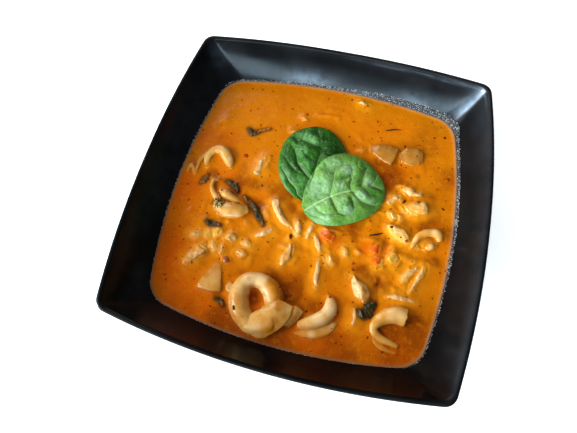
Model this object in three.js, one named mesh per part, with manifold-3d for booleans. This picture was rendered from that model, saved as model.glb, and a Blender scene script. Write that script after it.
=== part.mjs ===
// A square bowl of tortellini soup with two spinach leaves on top.
// Millimetres, +Z up, the origin on the table under the middle of the rim.
import * as THREE from 'three';
import { mergeVertices } from 'three/addons/utils/BufferGeometryUtils.js';
import Module from 'manifold-3d';

const wasm = await Module();
wasm.setup();

// Driving dimensions of the bowl: its plan is a square with bulged sides and small round corners
const rimHalf = 100;
const rimBulge = 10.1;
const rimCorner = 7.6;
const rimHeight = 55;
const cornerLift = 2.6;
const liftPower = 1.56;
const risePower = 1.5;
const liftReach = 0.93;
const footHalf = 60;
const footRecess = 2.4;
const floorTop = 6.6;

// The soup's surface, and the inner wall where it touches
const soupLevel = 32.8;
const soupHalf = 85.8;
const soupBulge = 11.2;
const soupCorner = 17;
const basinShift = [1.2, -0.5];
const sideGap = 0.45;
const floorGap = 0.35;

// Room round each piece that stands in the soup or beside another, and how far up it is cut
const pieceGap = 0.42;
const bedTop = 14;
const mergeWithin = 1e-5;

// Angles round an eighth of the bowl's plan, closer together at the corner
const octant = [0, 14, 26, 35, 40, 43].map(THREE.MathUtils.degToRad);

const colours = {
  bowl: 0x141517,
  soup: 0xc8660f,
  pasta: 0xdcae62,
  chicken: 0xeabf80,
  leafDark: 0x1f5a26,
  leafLight: 0x4b9a4c,
  wilted: 0x2f3018,
  carrot: 0xe0641a,
};

const group = new THREE.Group();

function addMesh(name, geometry, colour, roughness) {
  const material = new THREE.MeshStandardMaterial({ color: colour, roughness, metalness: 0 });
  const mesh = new THREE.Mesh(geometry, material);
  mesh.name = name;
  group.add(mesh);
}

// Distance from the middle to a square's outline with bulged sides, in the direction theta
function planRadius(theta, half, bulge, corner) {
  const sideRadius = (half * half + bulge * bulge) / (2 * bulge);
  const back = sideRadius - half;
  const reach = sideRadius - corner;
  const centre = (-back + Math.sqrt(2 * reach * reach - back * back)) / 2;
  const meet = Math.atan2(
    (sideRadius * centre) / reach,
    -back + (sideRadius * (centre + back)) / reach,
  );
  const quarter = Math.PI / 2;
  const s = Math.abs(THREE.MathUtils.euclideanModulo(theta + quarter / 2, quarter) - quarter / 2);
  if (s < meet) {
    return -back * Math.cos(s) + Math.sqrt(sideRadius ** 2 - (back * Math.sin(s)) ** 2);
  }
  const across = centre * (Math.cos(s) - Math.sin(s));
  return centre * (Math.cos(s) + Math.sin(s)) + Math.sqrt(corner * corner - across * across);
}

function planAngles() {
  const angles = [];
  for (let side = 0; side < 4; side += 1) {
    const start = (side * Math.PI) / 2;
    octant.forEach((a) => {
      angles.push(start + a);
    });
    angles.push(start + Math.PI / 4);
    octant.slice(1).reverse().forEach((a) => {
      angles.push(start + Math.PI / 2 - a);
    });
  }
  return angles;
}

// One loop of the bowl, level below the soup's surface and lifted towards its corners above it
function planLoop({ z, half, bulge, corner, shift }) {
  const rise = cornerLift * Math.max(0, (z - soupLevel) / (rimHeight - soupLevel)) ** risePower;
  return planAngles().map((theta) => {
    const r = planRadius(theta, half, bulge, corner);
    const x = r * Math.cos(theta);
    const y = r * Math.sin(theta);
    const along = Math.min(1, Math.min(Math.abs(x), Math.abs(y)) / (half * liftReach));
    return new THREE.Vector3(x + shift[0], y + shift[1], z + rise * along ** liftPower);
  });
}

// A closed body from level loops, with a point at its first and last end
function loft(loops, firstPoint, lastPoint) {
  const count = loops[0].length;
  const points = [firstPoint, ...loops.flat(), lastPoint];
  const faces = [];
  for (let j = 0; j < count; j += 1) {
    const k = (j + 1) % count;
    faces.push(0, 1 + k, 1 + j);
    for (let i = 0; i < loops.length - 1; i += 1) {
      const a = 1 + i * count + j;
      const b = 1 + i * count + k;
      faces.push(a, b, b + count, a, b + count, a + count);
    }
    const top = 1 + (loops.length - 1) * count;
    faces.push(points.length - 1, top + j, top + k);
  }
  return meshGeometry(points, faces);
}

function meshGeometry(points, faces) {
  const geometry = new THREE.BufferGeometry();
  const flat = points.flatMap((p) => [p.x, p.y, p.z]);
  geometry.setAttribute('position', new THREE.Float32BufferAttribute(flat, 3));
  geometry.setIndex(faces);
  return geometry;
}

function solidOf(geometry) {
  const plain = geometry.clone();
  plain.deleteAttribute('normal');
  plain.deleteAttribute('uv');
  const merged = mergeVertices(plain, mergeWithin);
  return new wasm.Manifold(new wasm.Mesh({
    numProp: 3,
    vertProperties: new Float32Array(merged.attributes.position.array),
    triVerts: new Uint32Array(merged.index.array),
  }));
}

function geometryOf(solid) {
  const mesh = solid.getMesh();
  const geometry = new THREE.BufferGeometry();
  geometry.setAttribute('position', new THREE.BufferAttribute(mesh.vertProperties, 3));
  geometry.setIndex(new THREE.BufferAttribute(mesh.triVerts, 1));
  return geometry;
}

// The same body a little fatter all over, for the room that it needs in its neighbours
function grown(geometry, distance) {
  const fat = mergeVertices(geometry.clone(), mergeWithin);
  fat.computeVertexNormals();
  const { position, normal } = fat.attributes;
  for (let i = 0; i < position.count; i += 1) {
    position.setXYZ(
      i,
      position.getX(i) + normal.getX(i) * distance,
      position.getY(i) + normal.getY(i) * distance,
      position.getZ(i) + normal.getZ(i) * distance,
    );
  }
  fat.deleteAttribute('normal');
  return fat;
}

// The bowl: up the outside from the foot ring, over the lip and down the inside to the floor
const none = [0, 0];
const outside = [
  { z: footRecess, half: 26, bulge: 6, corner: 14, shift: none },
  { z: footRecess, half: footHalf - 8, bulge: 9.4, corner: 20, shift: none },
  { z: 0, half: footHalf - 6.5, bulge: 9.4, corner: 21, shift: none },
  { z: 0, half: footHalf, bulge: 9.4, corner: 24, shift: none },
  { z: 3.2, half: footHalf + 1.5, bulge: 9.6, corner: 24, shift: none },
  { z: 9.5, half: 74, bulge: 10.2, corner: 23, shift: none },
  { z: 20, half: 84, bulge: 10.8, corner: 20.5, shift: none },
  { z: 32, half: 90.4, bulge: 11.2, corner: 17.5, shift: none },
  { z: 43, half: 95.8, bulge: 10.8, corner: 12.5, shift: none },
  { z: 50.5, half: 99.2, bulge: 10.3, corner: 8.8, shift: none },
  { z: rimHeight - 1.3, half: rimHalf, bulge: rimBulge, corner: rimCorner, shift: none },
  { z: rimHeight - 0.3, half: rimHalf - 0.4, bulge: rimBulge, corner: rimCorner - 0.2, shift: none },
  { z: rimHeight, half: rimHalf - 1.4, bulge: rimBulge, corner: rimCorner - 0.5, shift: none },
];
const inside = [
  { z: rimHeight - 0.6, half: rimHalf - 2.5, bulge: rimBulge, corner: rimCorner, shift: none },
  { z: rimHeight - 2, half: rimHalf - 3.1, bulge: rimBulge, corner: rimCorner + 0.4, shift: none },
  { z: 48.5, half: 95, bulge: 10.4, corner: 9.6, shift: [0.2, -0.1] },
  { z: 41.5, half: 91.3, bulge: 10.8, corner: 12.6, shift: [0.6, -0.3] },
  { z: soupLevel, half: soupHalf, bulge: soupBulge, corner: soupCorner, shift: basinShift },
  { z: 26, half: 79.4, bulge: 11, corner: 20, shift: basinShift },
  { z: 18.5, half: 70.2, bulge: 10.4, corner: 23, shift: basinShift },
  { z: 12, half: 58, bulge: 9.6, corner: 23, shift: basinShift },
  { z: 8.4, half: 44, bulge: 8.4, corner: 20, shift: basinShift },
  { z: floorTop + 0.4, half: 24, bulge: 5, corner: 12, shift: basinShift },
];
const bowl = loft(
  [...outside, ...inside].map(planLoop),
  new THREE.Vector3(0, 0, footRecess),
  new THREE.Vector3(basinShift[0], basinShift[1], floorTop),
);
addMesh('bowl', bowl, colours.bowl, 0.35);

// The soup fills the bowl from its floor up to the level
const soupLoops = inside
  .filter((section) => section.z <= soupLevel)
  .reverse()
  .map((section) => ({
    ...section,
    z: section.z === soupLevel ? soupLevel : section.z + floorGap,
    half: section.half - sideGap,
  }));
const wholeSoup = loft(
  soupLoops.map(planLoop),
  new THREE.Vector3(basinShift[0], basinShift[1], floorTop + floorGap),
  new THREE.Vector3(basinShift[0], basinShift[1], soupLevel),
);

// A soft body along a smooth path. Each key is x, y, height of its middle above the soup and half width.
// tall is its height against its width, square its section's exponent (2 is round) and roll a twist.
// It comes with its bed: a straight-sided room round it, which is cut out of the soup.
function noodle(keys, { tall = 0.8, square = 2, sides = 8, steps = 8, blunt = 0.5, roll = 0 } = {}) {
  const spots = keys.map(([x, y, lift]) => new THREE.Vector3(x, y, soupLevel + lift));
  const path = new THREE.CatmullRomCurve3(spots);
  const widths = new THREE.SplineCurve(keys.map(([, , , half], i) => new THREE.Vector2(half, i)));
  const upward = new THREE.Vector3(0, 0, 1);
  const loops = [];
  const bedLoops = [];
  for (let i = 0; i <= steps; i += 1) {
    const t = i / steps;
    const middle = path.getPoint(t);
    const along = path.getTangent(t);
    const level = new THREE.Vector3().crossVectors(upward, along).normalize();
    const side = level.clone().applyAxisAngle(along, roll);
    const up = new THREE.Vector3().crossVectors(along, side);
    const half = widths.getPoint(t).x;
    const loop = [];
    for (let j = 0; j < sides; j += 1) {
      const a = (j * 2 * Math.PI) / sides;
      const w = half * Math.sign(Math.cos(a)) * Math.abs(Math.cos(a)) ** (2 / square);
      const h = half * tall * Math.sign(Math.sin(a)) * Math.abs(Math.sin(a)) ** (2 / square);
      loop.push(middle.clone().addScaledVector(side, w).addScaledVector(up, h));
    }
    loops.push(loop);
    const end = Number(i === steps) - Number(i === 0);
    const past = end * (half * Math.max(blunt, 0) + pieceGap);
    const depth = half * (tall + Math.abs(roll));
    bedLoops.push(bedLoop(middle.addScaledVector(along, past), level, half, depth));
  }
  const nose = keys[0][3] * blunt;
  const tail = keys[keys.length - 1][3] * blunt;
  const first = spots[0].clone().addScaledVector(path.getTangent(0), -nose);
  const last = spots[spots.length - 1].clone().addScaledVector(path.getTangent(1), tail);
  const bedFirst = averageOf(bedLoops[0]);
  const bedLast = averageOf(bedLoops[steps]);
  return { body: loft(loops, first, last), bed: loft(bedLoops, bedFirst, bedLast) };
}

function bedLoop(middle, level, half, depth) {
  const reach = half + pieceGap;
  const top = soupLevel + bedTop;
  const bottom = middle.z - depth - pieceGap;
  return [[1, bottom], [1, top], [-1, top], [-1, bottom]].map(([sign, z]) => {
    const corner = middle.clone().addScaledVector(level, sign * reach);
    corner.z = Math.min(z, top);
    return corner;
  });
}

function averageOf(points) {
  const sum = points.reduce((total, p) => total.add(p), new THREE.Vector3());
  return sum.divideScalar(points.length);
}

// A thin wavy strip along a path, both faces split alike. Keys as for a noodle.
function strip(keys, { thick = 0.8, wave = 0.5, folds = 2.5, steps = 8, across = 3 } = {}) {
  const path = new THREE.CatmullRomCurve3(keys.map(([x, y, lift]) => new THREE.Vector3(x, y, lift)));
  const widths = new THREE.SplineCurve(keys.map(([, , , half], i) => new THREE.Vector2(half, i)));
  const upward = new THREE.Vector3(0, 0, 1);
  const rows = [];
  for (let i = 0; i <= steps; i += 1) {
    const t = i / steps;
    const middle = path.getPoint(t);
    const side = new THREE.Vector3().crossVectors(upward, path.getTangent(t)).normalize();
    const half = widths.getPoint(t).x;
    const row = [];
    for (let j = 0; j <= across; j += 1) {
      const s = (2 * j) / across - 1;
      const spot = middle.clone().addScaledVector(side, s * half);
      spot.z += soupLevel + wave * Math.sin(folds * Math.PI * t + 2.2 * s);
      row.push(spot);
    }
    rows.push(row);
  }
  return { body: thinSolid(rows, thick) };
}

// A thin solid between a grid of points and the same grid one thickness lower
function thinSolid(rows, thick) {
  const n = rows.length;
  const m = rows[0].length;
  const upper = rows.flat();
  const lower = upper.map((p) => new THREE.Vector3(p.x, p.y, p.z - thick));
  const faces = [];
  const under = n * m;
  for (let i = 0; i < n - 1; i += 1) {
    for (let j = 0; j < m - 1; j += 1) {
      const a = i * m + j;
      const b = a + 1;
      const c = a + m + 1;
      const d = a + m;
      faces.push(a, c, b, a, d, c);
      faces.push(under + a, under + b, under + c, under + a, under + c, under + d);
    }
  }
  const rim = [];
  for (let j = 0; j < m - 1; j += 1) {
    rim.push(j);
  }
  for (let i = 0; i < n - 1; i += 1) {
    rim.push(i * m + m - 1);
  }
  for (let j = m - 1; j > 0; j -= 1) {
    rim.push((n - 1) * m + j);
  }
  for (let i = n - 1; i > 0; i -= 1) {
    rim.push(i * m);
  }
  rim.forEach((a, k) => {
    const b = rim[(k + 1) % rim.length];
    faces.push(a, b, under + b, a, under + b, under + a);
  });
  return meshGeometry([...upper, ...lower], faces);
}

const ring = { sides: 8, steps: 14 };
const rope = { sides: 6, steps: 12, tall: 0.9 };
const small = { sides: 6, steps: 4, tall: 0.75 };
const boxy = { sides: 8, steps: 2, tall: 0.6, square: 3.2, blunt: 0.35 };
const thin = { sides: 6, steps: 4, tall: 0.16, square: 2.6, blunt: 0.2 };

// The pasta. The front one is a closed ring whose upper end laps over the other.
const pasta = {
  tortellino_front: [
    noodle([
      [-3.5, -66, 0.5, 5.2], [-5.8, -59.5, 1.5, 5.7], [-11, -54.6, 2, 4.8], [-17.8, -53.2, 2, 4.1],
      [-23.2, -56.2, 2, 4.6], [-25, -61.5, 1.6, 5.2], [-24, -68, 1.5, 5.4], [-20.5, -74, 1.5, 5.2],
      [-14.5, -78.4, 1.5, 4.8],
    ], { ...ring, steps: 18, tall: 0.95 }),
    noodle([
      [-20.9, -77.6, 2, 2.5], [-14.6, -78.6, 2.7, 5], [-8.4, -76, 3.4, 6.9],
      [-3, -72.8, 3.8, 7.6], [0.6, -71.2, 3.6, 6.4],
    ], { ...ring, steps: 7, tall: 0.72 }),
    noodle(
      [[-3, -70.5, 4.2, 7.4], [0.6, -71.3, 3.8, 9], [3, -72, 3.4, 9.4]],
      { ...thin, steps: 3, roll: -0.16 },
    ),
    noodle([[3, -66, 2.2, 3], [8, -67, 2, 5.2], [11, -67, 1.9, 4.2]], { ...thin, steps: 3, roll: -0.1 }),
    noodle([[-28, -61.5, 1.4, 3.4], [-31.2, -61, 1.7, 2.9], [-32.2, -58.6, 2, 0.9]], { ...thin, steps: 3 }),
  ],
  tortellino_crescent: [
    noodle([
      [24, -51.8, 0.2, 1], [25.8, -54.2, 0.8, 2.7], [26.9, -57.8, 1, 3.8], [26.2, -62, 1.5, 4.2],
      [22.2, -66.5, 1.5, 4.1], [16.8, -69.7, 1.2, 3.6], [12.2, -71.6, 0.8, 2.4],
    ], { ...ring, steps: 12 }),
    noodle([
      [11, -76.4, 0, 1], [15.6, -75.4, 0.3, 2.2], [22, -73.6, 0.3, 3.2], [27.6, -70.2, 0.3, 3],
      [31.2, -66, 0.2, 1.9], [32.6, -63.2, 0, 0.8],
    ], { ...rope, steps: 8, tall: 0.45 }),
  ],
  tortellino_open: [
    noodle([
      [68.2, -53.6, 2, 5], [63.2, -53.3, 2, 4.9], [58.1, -55.2, 1.8, 4.3], [54.1, -58.4, 1.5, 3.4],
      [52, -62.3, 1, 2.5], [53, -65.2, 1, 2.2], [56.6, -67.3, 0.8, 2], [61.3, -68.4, 0.5, 1.9],
      [66.4, -69.4, 0, 1.4],
    ], { ...ring, steps: 15, blunt: -0.35 }),
    noodle([[50.6, -66, -0.2, 1], [54.6, -70, 0.1, 1.6], [60.4, -72.6, 0.1, 1.7], [66, -73, 0, 0.9]],
      { ...small, steps: 6, tall: 0.5 }),
  ],
  tortellino_arch: [
    noodle([
      [65.2, -14.5, -0.8, 1.3], [65.9, -9.9, 0.6, 1.7], [67.9, -5.1, 1.3, 2], [71, -2.6, 1.6, 2.1],
      [74.8, -1.2, 1.6, 2.3], [78.5, -1.4, 1.3, 2.8], [80.2, -4.2, 0, 2],
    ], rope),
    noodle([[67.4, -12.4, -1, 2], [71.4, -8.8, -0.4, 4.6], [75.6, -6.6, -0.4, 4.4], [78.6, -5, -1, 2]],
      { ...ring, steps: 6, tall: 0.5 }),
    noodle([[73.6, -11.6, -0.4, 1.6], [75.4, -9.6, 0.7, 2.2], [77, -7.8, 0.3, 1.6]], small),
  ],
  tortellino_loop: [
    noodle([
      [-69.5, 9, -1.5, 1.8], [-70.8, 14, 0.6, 2.1], [-70.2, 18.6, 1.6, 2.3], [-67.2, 22, 2, 2.7],
      [-63, 22.2, 2, 3.3], [-58.6, 19, 1.5, 3.6], [-56, 15.2, 0.6, 3], [-54.4, 12, -1.2, 1.7],
    ], ring),
    noodle([
      [-72.4, 19, 0.8, 1.2], [-75, 13, 0.8, 1.2], [-75.3, 7.4, 0.5, 1.2], [-75.4, 3, 0, 1.2],
      [-77.4, 6.4, 0.5, 1.3], [-79.6, 8.4, 0.8, 1.3], [-80.8, 5.6, 0.4, 1.3], [-80.3, 2, -0.6, 1],
    ], { ...rope, sides: 5, steps: 14 }),
  ],
  tortellino_hook: [
    noodle([
      [-58.8, 2.6, 0, 0.8], [-61.6, 1, 1, 1.4], [-61.4, -3.8, 1.1, 1.6], [-58.6, -7.8, 1, 1.9],
      [-55, -11, 0.6, 2.2],
    ], { ...rope, steps: 8, tall: 1 }),
    noodle([
      [-55.4, -4.6, 0.2, 1.8], [-51.6, -6.2, 0.8, 3], [-48, -7.6, 0.9, 2.3], [-44.2, -8.5, 0.6, 2],
      [-40.2, -9, 0, 1],
    ], { ...rope, steps: 8 }),
    noodle([
      [-55.4, -15, 0.1, 3], [-50.6, -16.2, 0.9, 4.7], [-45, -16, 1.2, 5.1], [-40, -14.8, 1, 4.4],
      [-36, -13, 0.2, 2.8],
    ], { ...ring, steps: 8, tall: 0.7 }),
    noodle(
      [[-56, -5.4, -1.6, 2.4], [-53.4, -10, -1.6, 4], [-50.6, -14.4, -1.4, 3.4]],
      { ...small, tall: 0.45 },
    ),
  ],
  pasta_flap_left: [
    noodle([[-42.4, -49.6, 0.1, 2.6], [-42.6, -55.4, 0.4, 4.6], [-43.2, -61, 0.6, 6.8], [-43, -65, 0.8, 7.2]],
      { ...thin, tall: 0.24, roll: 0.05 }),
  ],
  pasta_flap_back: [
    noodle([[29.6, 47.2, 0.2, 2.2], [34.5, 46.6, 0.5, 4.9], [40.5, 45.2, 0.7, 6.6], [45.4, 44, 0.8, 6.6]],
      { ...thin, tall: 0.26, roll: -0.06 }),
  ],
  pasta_flap_corner: [
    noodle([[49.6, 44.6, 0.3, 3.6], [54, 46, 0.6, 6.2], [59.6, 47, 0.6, 6], [62.6, 47.4, 0.3, 4.4]],
      { ...thin, tall: 0.24, roll: 0.05 }),
  ],
};

// Chicken: torn chunks, then shreds and strips
const chunk = { sides: 8, steps: 5, tall: 0.75, square: 2.3 };
const chicken = {
  chicken_slab: [
    noodle([[35.4, -38, 0.3, 1.4], [38.6, -42.4, 1, 3.4], [42.2, -46, 1.3, 4.3], [44.6, -49.4, 0.4, 2.2]],
      { ...chunk, steps: 6, square: 2.6 }),
  ],
  chicken_chunk_right: [
    noodle(
      [[59, 11.2, -0.2, 2.4], [63.4, 12, 0.6, 4], [67.4, 12.8, 1.1, 4.3], [70.4, 12.4, 0.5, 2.6]],
      chunk,
    ),
  ],
  chicken_chunk_back: [
    noodle(
      [[54.4, 21, -0.2, 1.8], [58, 22.6, 0.5, 2.6], [61.8, 20.8, 0.4, 2.3], [66.6, 22.4, 0, 1.6]],
      chunk,
    ),
  ],
  chicken_bar: [noodle([[47.2, 11.4, 0, 1.4], [49.8, 15.4, 0.5, 2], [52.8, 17.6, 0, 1.6]], boxy)],
  chicken_dome: [
    noodle(
      [[51, -2.6, 0, 2.2], [55.4, -5.2, 0.4, 3.4], [59.9, -7.3, 0.4, 3.5], [62.6, -10.6, -0.2, 2]],
      chunk,
    ),
  ],
  chicken_lump_left: [
    noodle([[-61.4, -53.8, 0, 1.6], [-59.2, -49.2, 0.4, 2.9], [-55.6, -46, 0.6, 3.7], [-52.8, -42, 0.5, 3]],
      { ...chunk, tall: 0.6 }),
  ],
  chicken_lump_middle: [
    noodle(
      [[-3, -28.4, -0.2, 2], [-3.6, -33, 0.1, 2.6], [-5, -37.4, 0.1, 2.8], [-6.4, -40.6, -0.2, 1.7]],
      chunk,
    ),
  ],
  chicken_bit_left: [
    noodle([[-63.4, -36.8, 0, 1.4], [-60.8, -35.6, 0.3, 2.5], [-57.9, -34.4, 0, 1.8]], small),
  ],
  chicken_bit_inner: [noodle([[-43, -33, 0, 1.8], [-40.2, -32.4, 0.8, 3], [-37.4, -32, 0, 2]], small)],
  shred_back: [noodle([[-34.6, 24.4, 0, 1.1], [-36.2, 18.4, 0.4, 1.9], [-36.8, 12, 0.3, 2]], small)],
  shred_long: [
    noodle([[-20, -3.4, 0, 2.4], [-17.3, -9, 0.6, 2.1], [-13.5, -13.5, 0.7, 2], [-6, -18, 0, 1]],
      { ...small, steps: 6 }),
  ],
  shred_side: [noodle([[-25.4, -28, 0, 1.2], [-21, -25.2, 0.4, 1.6], [-17.4, -22, 0, 1.2]], small)],
  shred_nub: [noodle([[-3.6, -13.4, 0, 1.6], [-2.2, -17, 0.4, 2.1], [-1.8, -21.4, 0, 1.2]], small)],
  shred_middle: [noodle([[5.6, -11.8, 0, 1.1], [5.2, -16.6, 0.5, 1.6], [4.4, -22, 0, 1.1]], small)],
  shred_thread_a: [noodle([[8.4, -18.4, 0, 1], [11.2, -23.4, 0.5, 1.6], [14, -28.8, 0, 1.2]], small)],
  shred_thread_b: [
    noodle(
      [[14.4, -32.4, 0, 1], [14.9, -38, 0.4, 1.5], [15.5, -44.4, 0.4, 1.6], [16.6, -50.4, 0, 1]],
      small,
    ),
  ],
  strip_front: [
    noodle(
      [[55.6, -44.6, 0, 0.9], [60.3, -43.6, 0.5, 1.4], [65, -43.4, 0.5, 1.4], [71, -44, 0, 0.9]],
      small,
    ),
  ],
  strip_short: [noodle([[62.6, -33.6, 0, 1.6], [65.6, -28.9, 0.4, 1.7], [69.6, -24.8, 0, 1.3]], small)],
  strip_side: [
    noodle(
      [[67.6, -39.2, 0, 0.8], [70.3, -32.3, 0.3, 1.2], [72.7, -26.7, 0.4, 1.3], [74.3, -21.8, 0, 0.8]],
      small,
    ),
  ],
  strip_left: [noodle([[39.8, -56, 0, 1.1], [41.2, -60, 0.3, 1.4], [41, -64.2, 0, 1.1]], small)],
};

const carrot = {
  carrot_wedge: [noodle([[11.6, -15.4, 0, 1.8], [15.4, -17.2, 0.6, 3], [19.8, -18.6, 0.2, 2.4]], boxy)],
  carrot_dice_back: [noodle([[42.4, -18.4, -0.2, 2], [44.8, -19, 0.4, 2.8], [47.4, -19.4, -0.2, 2]], boxy)],
  carrot_dice_front: [
    noodle([[44.8, -24.6, -0.2, 1.8], [47.4, -25.4, 0.3, 2.5], [50, -25.8, -0.2, 1.8]], boxy),
  ],
};

// Bits smaller than a berry, in the soup's own solid: chicken, three pale dice and one of onion
const bits = [
  noodle([[48.6, 6, -0.1, 1.6], [50.4, 4.2, 0.2, 2.2], [52.2, 2.6, -0.1, 1.6]], small),
  noodle([[-32.8, -33.8, 0, 1.2], [-29.8, -34.3, 0.3, 1.8], [-26.8, -34.6, 0, 1.1]], small),
  noodle([[-33, -40, 0, 1.5], [-30.4, -40.6, 0.2, 2.1], [-28, -40.6, 0, 1.3]], small),
  noodle([[-50.8, -37.8, 0, 1], [-48.8, -40.4, 0.4, 1.6], [-45.8, -42.6, 0, 1.3]], small),
  noodle([[-43.4, -37.4, 0, 1], [-43, -40.8, 0.4, 1.4], [-42, -43.8, 0, 1.1]], small),
  noodle([[17.6, -29, 0, 1], [20.2, -30.2, 0.4, 1.4], [21.6, -34, 0, 1.2]], small),
  noodle([[26.8, -22, 0, 1.2], [28, -25.2, 0.3, 1.5], [29, -28.2, 0, 1.1]], small),
  noodle([[15.2, 80.4, -0.1, 1.1], [18, 79.6, 0.3, 1.7], [21.4, 78.2, -0.1, 1.2]], small),
  noodle([[-56, -31.6, 0, 1.5], [-54.2, -33.4, 0.4, 2.2], [-52.8, -35.4, 0, 1.6]], boxy),
  noodle([[-50.8, -30.9, 0, 1.8], [-48.6, -31, 0.4, 2.5], [-46.2, -31.2, 0, 1.9]], boxy),
  noodle([[53.2, -20.2, -0.2, 2], [55, -21.8, 0.2, 2.6], [57.4, -23, -0.2, 2]], boxy),
  noodle([[-40.6, -46.6, -0.1, 1.5], [-38.6, -46.2, 0.3, 2], [-36.4, -45.8, -0.1, 1.5]], boxy),
];

// Wilted spinach: small limp strips that lie on the soup, and two that lie on other pieces
const wilted = {
  wilted_hook: [
    strip([[-56.8, -12.6, 4.2, 1.6], [-53.4, -13.6, 6.2, 3.2], [-50.4, -14.6, 6.4, 2.2]], { steps: 6 }),
  ],
  wilted_fold: [
    strip([[-54.2, 2.8, 2, 0.8], [-50.6, 2, 2.6, 1.7], [-46.8, 0, 2.6, 1.7], [-44.6, -3.2, 2, 1]]),
  ],
  wilted_ribbon: [
    strip([
      [-40.2, -4.8, 1.9, 0.8], [-36.6, -7, 2.2, 1.5], [-31.6, -10.4, 2.4, 2], [-27.6, -14.8, 2.3, 2.1],
      [-23.4, -20, 1.9, 1.2],
    ], { folds: 4, steps: 10 }),
  ],
  wilted_corner: [
    strip([[-57.6, -26, 1.9, 1.2], [-54.6, -26.8, 2, 2], [-48.4, -26.6, 1.9, 0.9]], { steps: 6 }),
  ],
  wilted_far: [
    strip([[-51.6, 43, 1.9, 1], [-47.8, 40.6, 2.1, 2.1], [-42.2, 43.4, 1.9, 1], [-37, 46, 1.9, 0.5]]),
  ],
  wilted_smear: [strip([[-69.9, -2.4, 1.9, 0.9], [-68.2, 0.6, 2, 2], [-66.8, 4, 1.9, 1]], { steps: 5 })],
  wilted_low: [strip([[-38, -69.4, 1.9, 0.7], [-35, -69.6, 2, 1.3], [-32, -72, 1.9, 1]], { steps: 5 })],
  wilted_right: [
    strip([[42.2, -56, 2.4, 1.2], [45.8, -57, 3, 3], [48, -54, 3.4, 3.1], [49.4, -49.6, 2.8, 1.7]],
      { wave: 0.8, folds: 3 }),
  ],
};

// A spinach leaf. Places on it are t along its midrib, from its stalk, and s across, from edge to edge.
const leafThick = 0.8;
const leafSquare = 2.15;
const leafSteps = 10;
const edgeHalf = 0.6;
const veinSlant = 0.35;
const edgeDrop = 0.65;
const leafBack = {
  stalk: [-3, 0.4],
  tip: [-4.6, 54],
  leftHalf: 22,
  rightHalf: 25,
  leftFullest: 1.1,
  rightFullest: 0.62,
  bend: 3.4,
  stalkHalf: 2.4,
  low: 1.7,
  dome: 3.4,
  tilt: 0.3,
  puff: 1,
  veins: 3.4,
  phase: 0.15,
};
const leafFront = {
  stalk: [-2.4, -5],
  tip: [42.1, 22.7],
  leftHalf: 26.9,
  rightHalf: 18,
  leftFullest: 1.37,
  rightFullest: 1,
  bend: 1.2,
  stalkHalf: 2.9,
  low: 2.6,
  dome: 3.2,
  tilt: 0.4,
  puff: 1.1,
  veins: 3.2,
  phase: 0.35,
};

function leafAxes(leaf) {
  const length = Math.hypot(leaf.tip[0] - leaf.stalk[0], leaf.tip[1] - leaf.stalk[1]);
  const along = [(leaf.tip[0] - leaf.stalk[0]) / length, (leaf.tip[1] - leaf.stalk[1]) / length];
  return { length, along, across: [-along[1], along[0]] };
}

function leafHalf(leaf, t, s) {
  const side = s > 0 ? leaf.leftHalf : leaf.rightHalf;
  const stretched = 2 * t ** (s > 0 ? leaf.leftFullest : leaf.rightFullest) - 1;
  const blade = side * Math.sqrt(Math.max(0, 1 - Math.abs(stretched) ** leafSquare));
  return Math.max(blade, leaf.stalkHalf * (1 - t) ** 4);
}

function leafLift(leaf, t, s) {
  const middle = Math.sin(Math.PI * t);
  const rows = Math.abs(Math.sin(Math.PI * (leaf.veins * (t - veinSlant * Math.abs(s)) + leaf.phase)));
  const puffed = leaf.puff * rows ** 0.7 * Math.min(1, 3 * Math.abs(s)) * (1 - s ** 4) * Math.sqrt(middle);
  const domed = leaf.dome * middle ** 0.8 * (1 - edgeDrop * s * s);
  return leaf.low + domed + puffed + leaf.tilt * s;
}

function leafRows(leaf, liftAt) {
  const { length, along, across } = leafAxes(leaf);
  const rows = [];
  for (let i = 0; i <= leafSteps; i += 1) {
    const t = 0.5 - 0.5 * Math.cos((Math.PI * i) / leafSteps);
    const row = [];
    for (let j = 0; j <= leafSteps; j += 1) {
      const s = Math.sin((Math.PI / 2) * ((2 * j) / leafSteps - 1));
      const bent = leaf.bend * 4 * t * (1 - t) * (1 - s * s);
      const width = Math.max(leafHalf(leaf, t, s), edgeHalf) * s + bent;
      const x = leaf.stalk[0] + along[0] * length * t + across[0] * width;
      const y = leaf.stalk[1] + along[1] * length * t + across[1] * width;
      row.push(new THREE.Vector3(x, y, soupLevel + liftAt(x, y, t, s)));
    }
    rows.push(row);
  }
  return rows;
}

// Height of the back leaf's upper face under a point, falling away past its edge
const fallPastEdge = 0.45;
function backLeafUnder(x, y) {
  const { length, along, across } = leafAxes(leafBack);
  const dx = x - leafBack.stalk[0];
  const dy = y - leafBack.stalk[1];
  const t = THREE.MathUtils.clamp((dx * along[0] + dy * along[1]) / length, 0.001, 0.999);
  const w = dx * across[0] + dy * across[1];
  const reach = leafHalf(leafBack, t, Math.sign(w));
  const s = THREE.MathUtils.clamp(w / Math.max(reach, edgeHalf), -1, 1);
  const past = Math.max(0, Math.abs(w) - reach);
  return leafLift(leafBack, t, s) - fallPastEdge * past;
}

// The front leaf lies on the back one: its height is the greater of the two, rounded where they meet
const leafRest = 0.75;
const meetRound = 1.5;
const backRows = leafRows(leafBack, (x, y, t, s) => leafLift(leafBack, t, s));
const frontRows = leafRows(leafFront, (x, y, t, s) => {
  const free = leafLift(leafFront, t, s);
  const held = backLeafUnder(x, y) + leafThick + leafRest;
  return (free + held + Math.sqrt((free - held) ** 2 + meetRound)) / 2;
});

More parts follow.
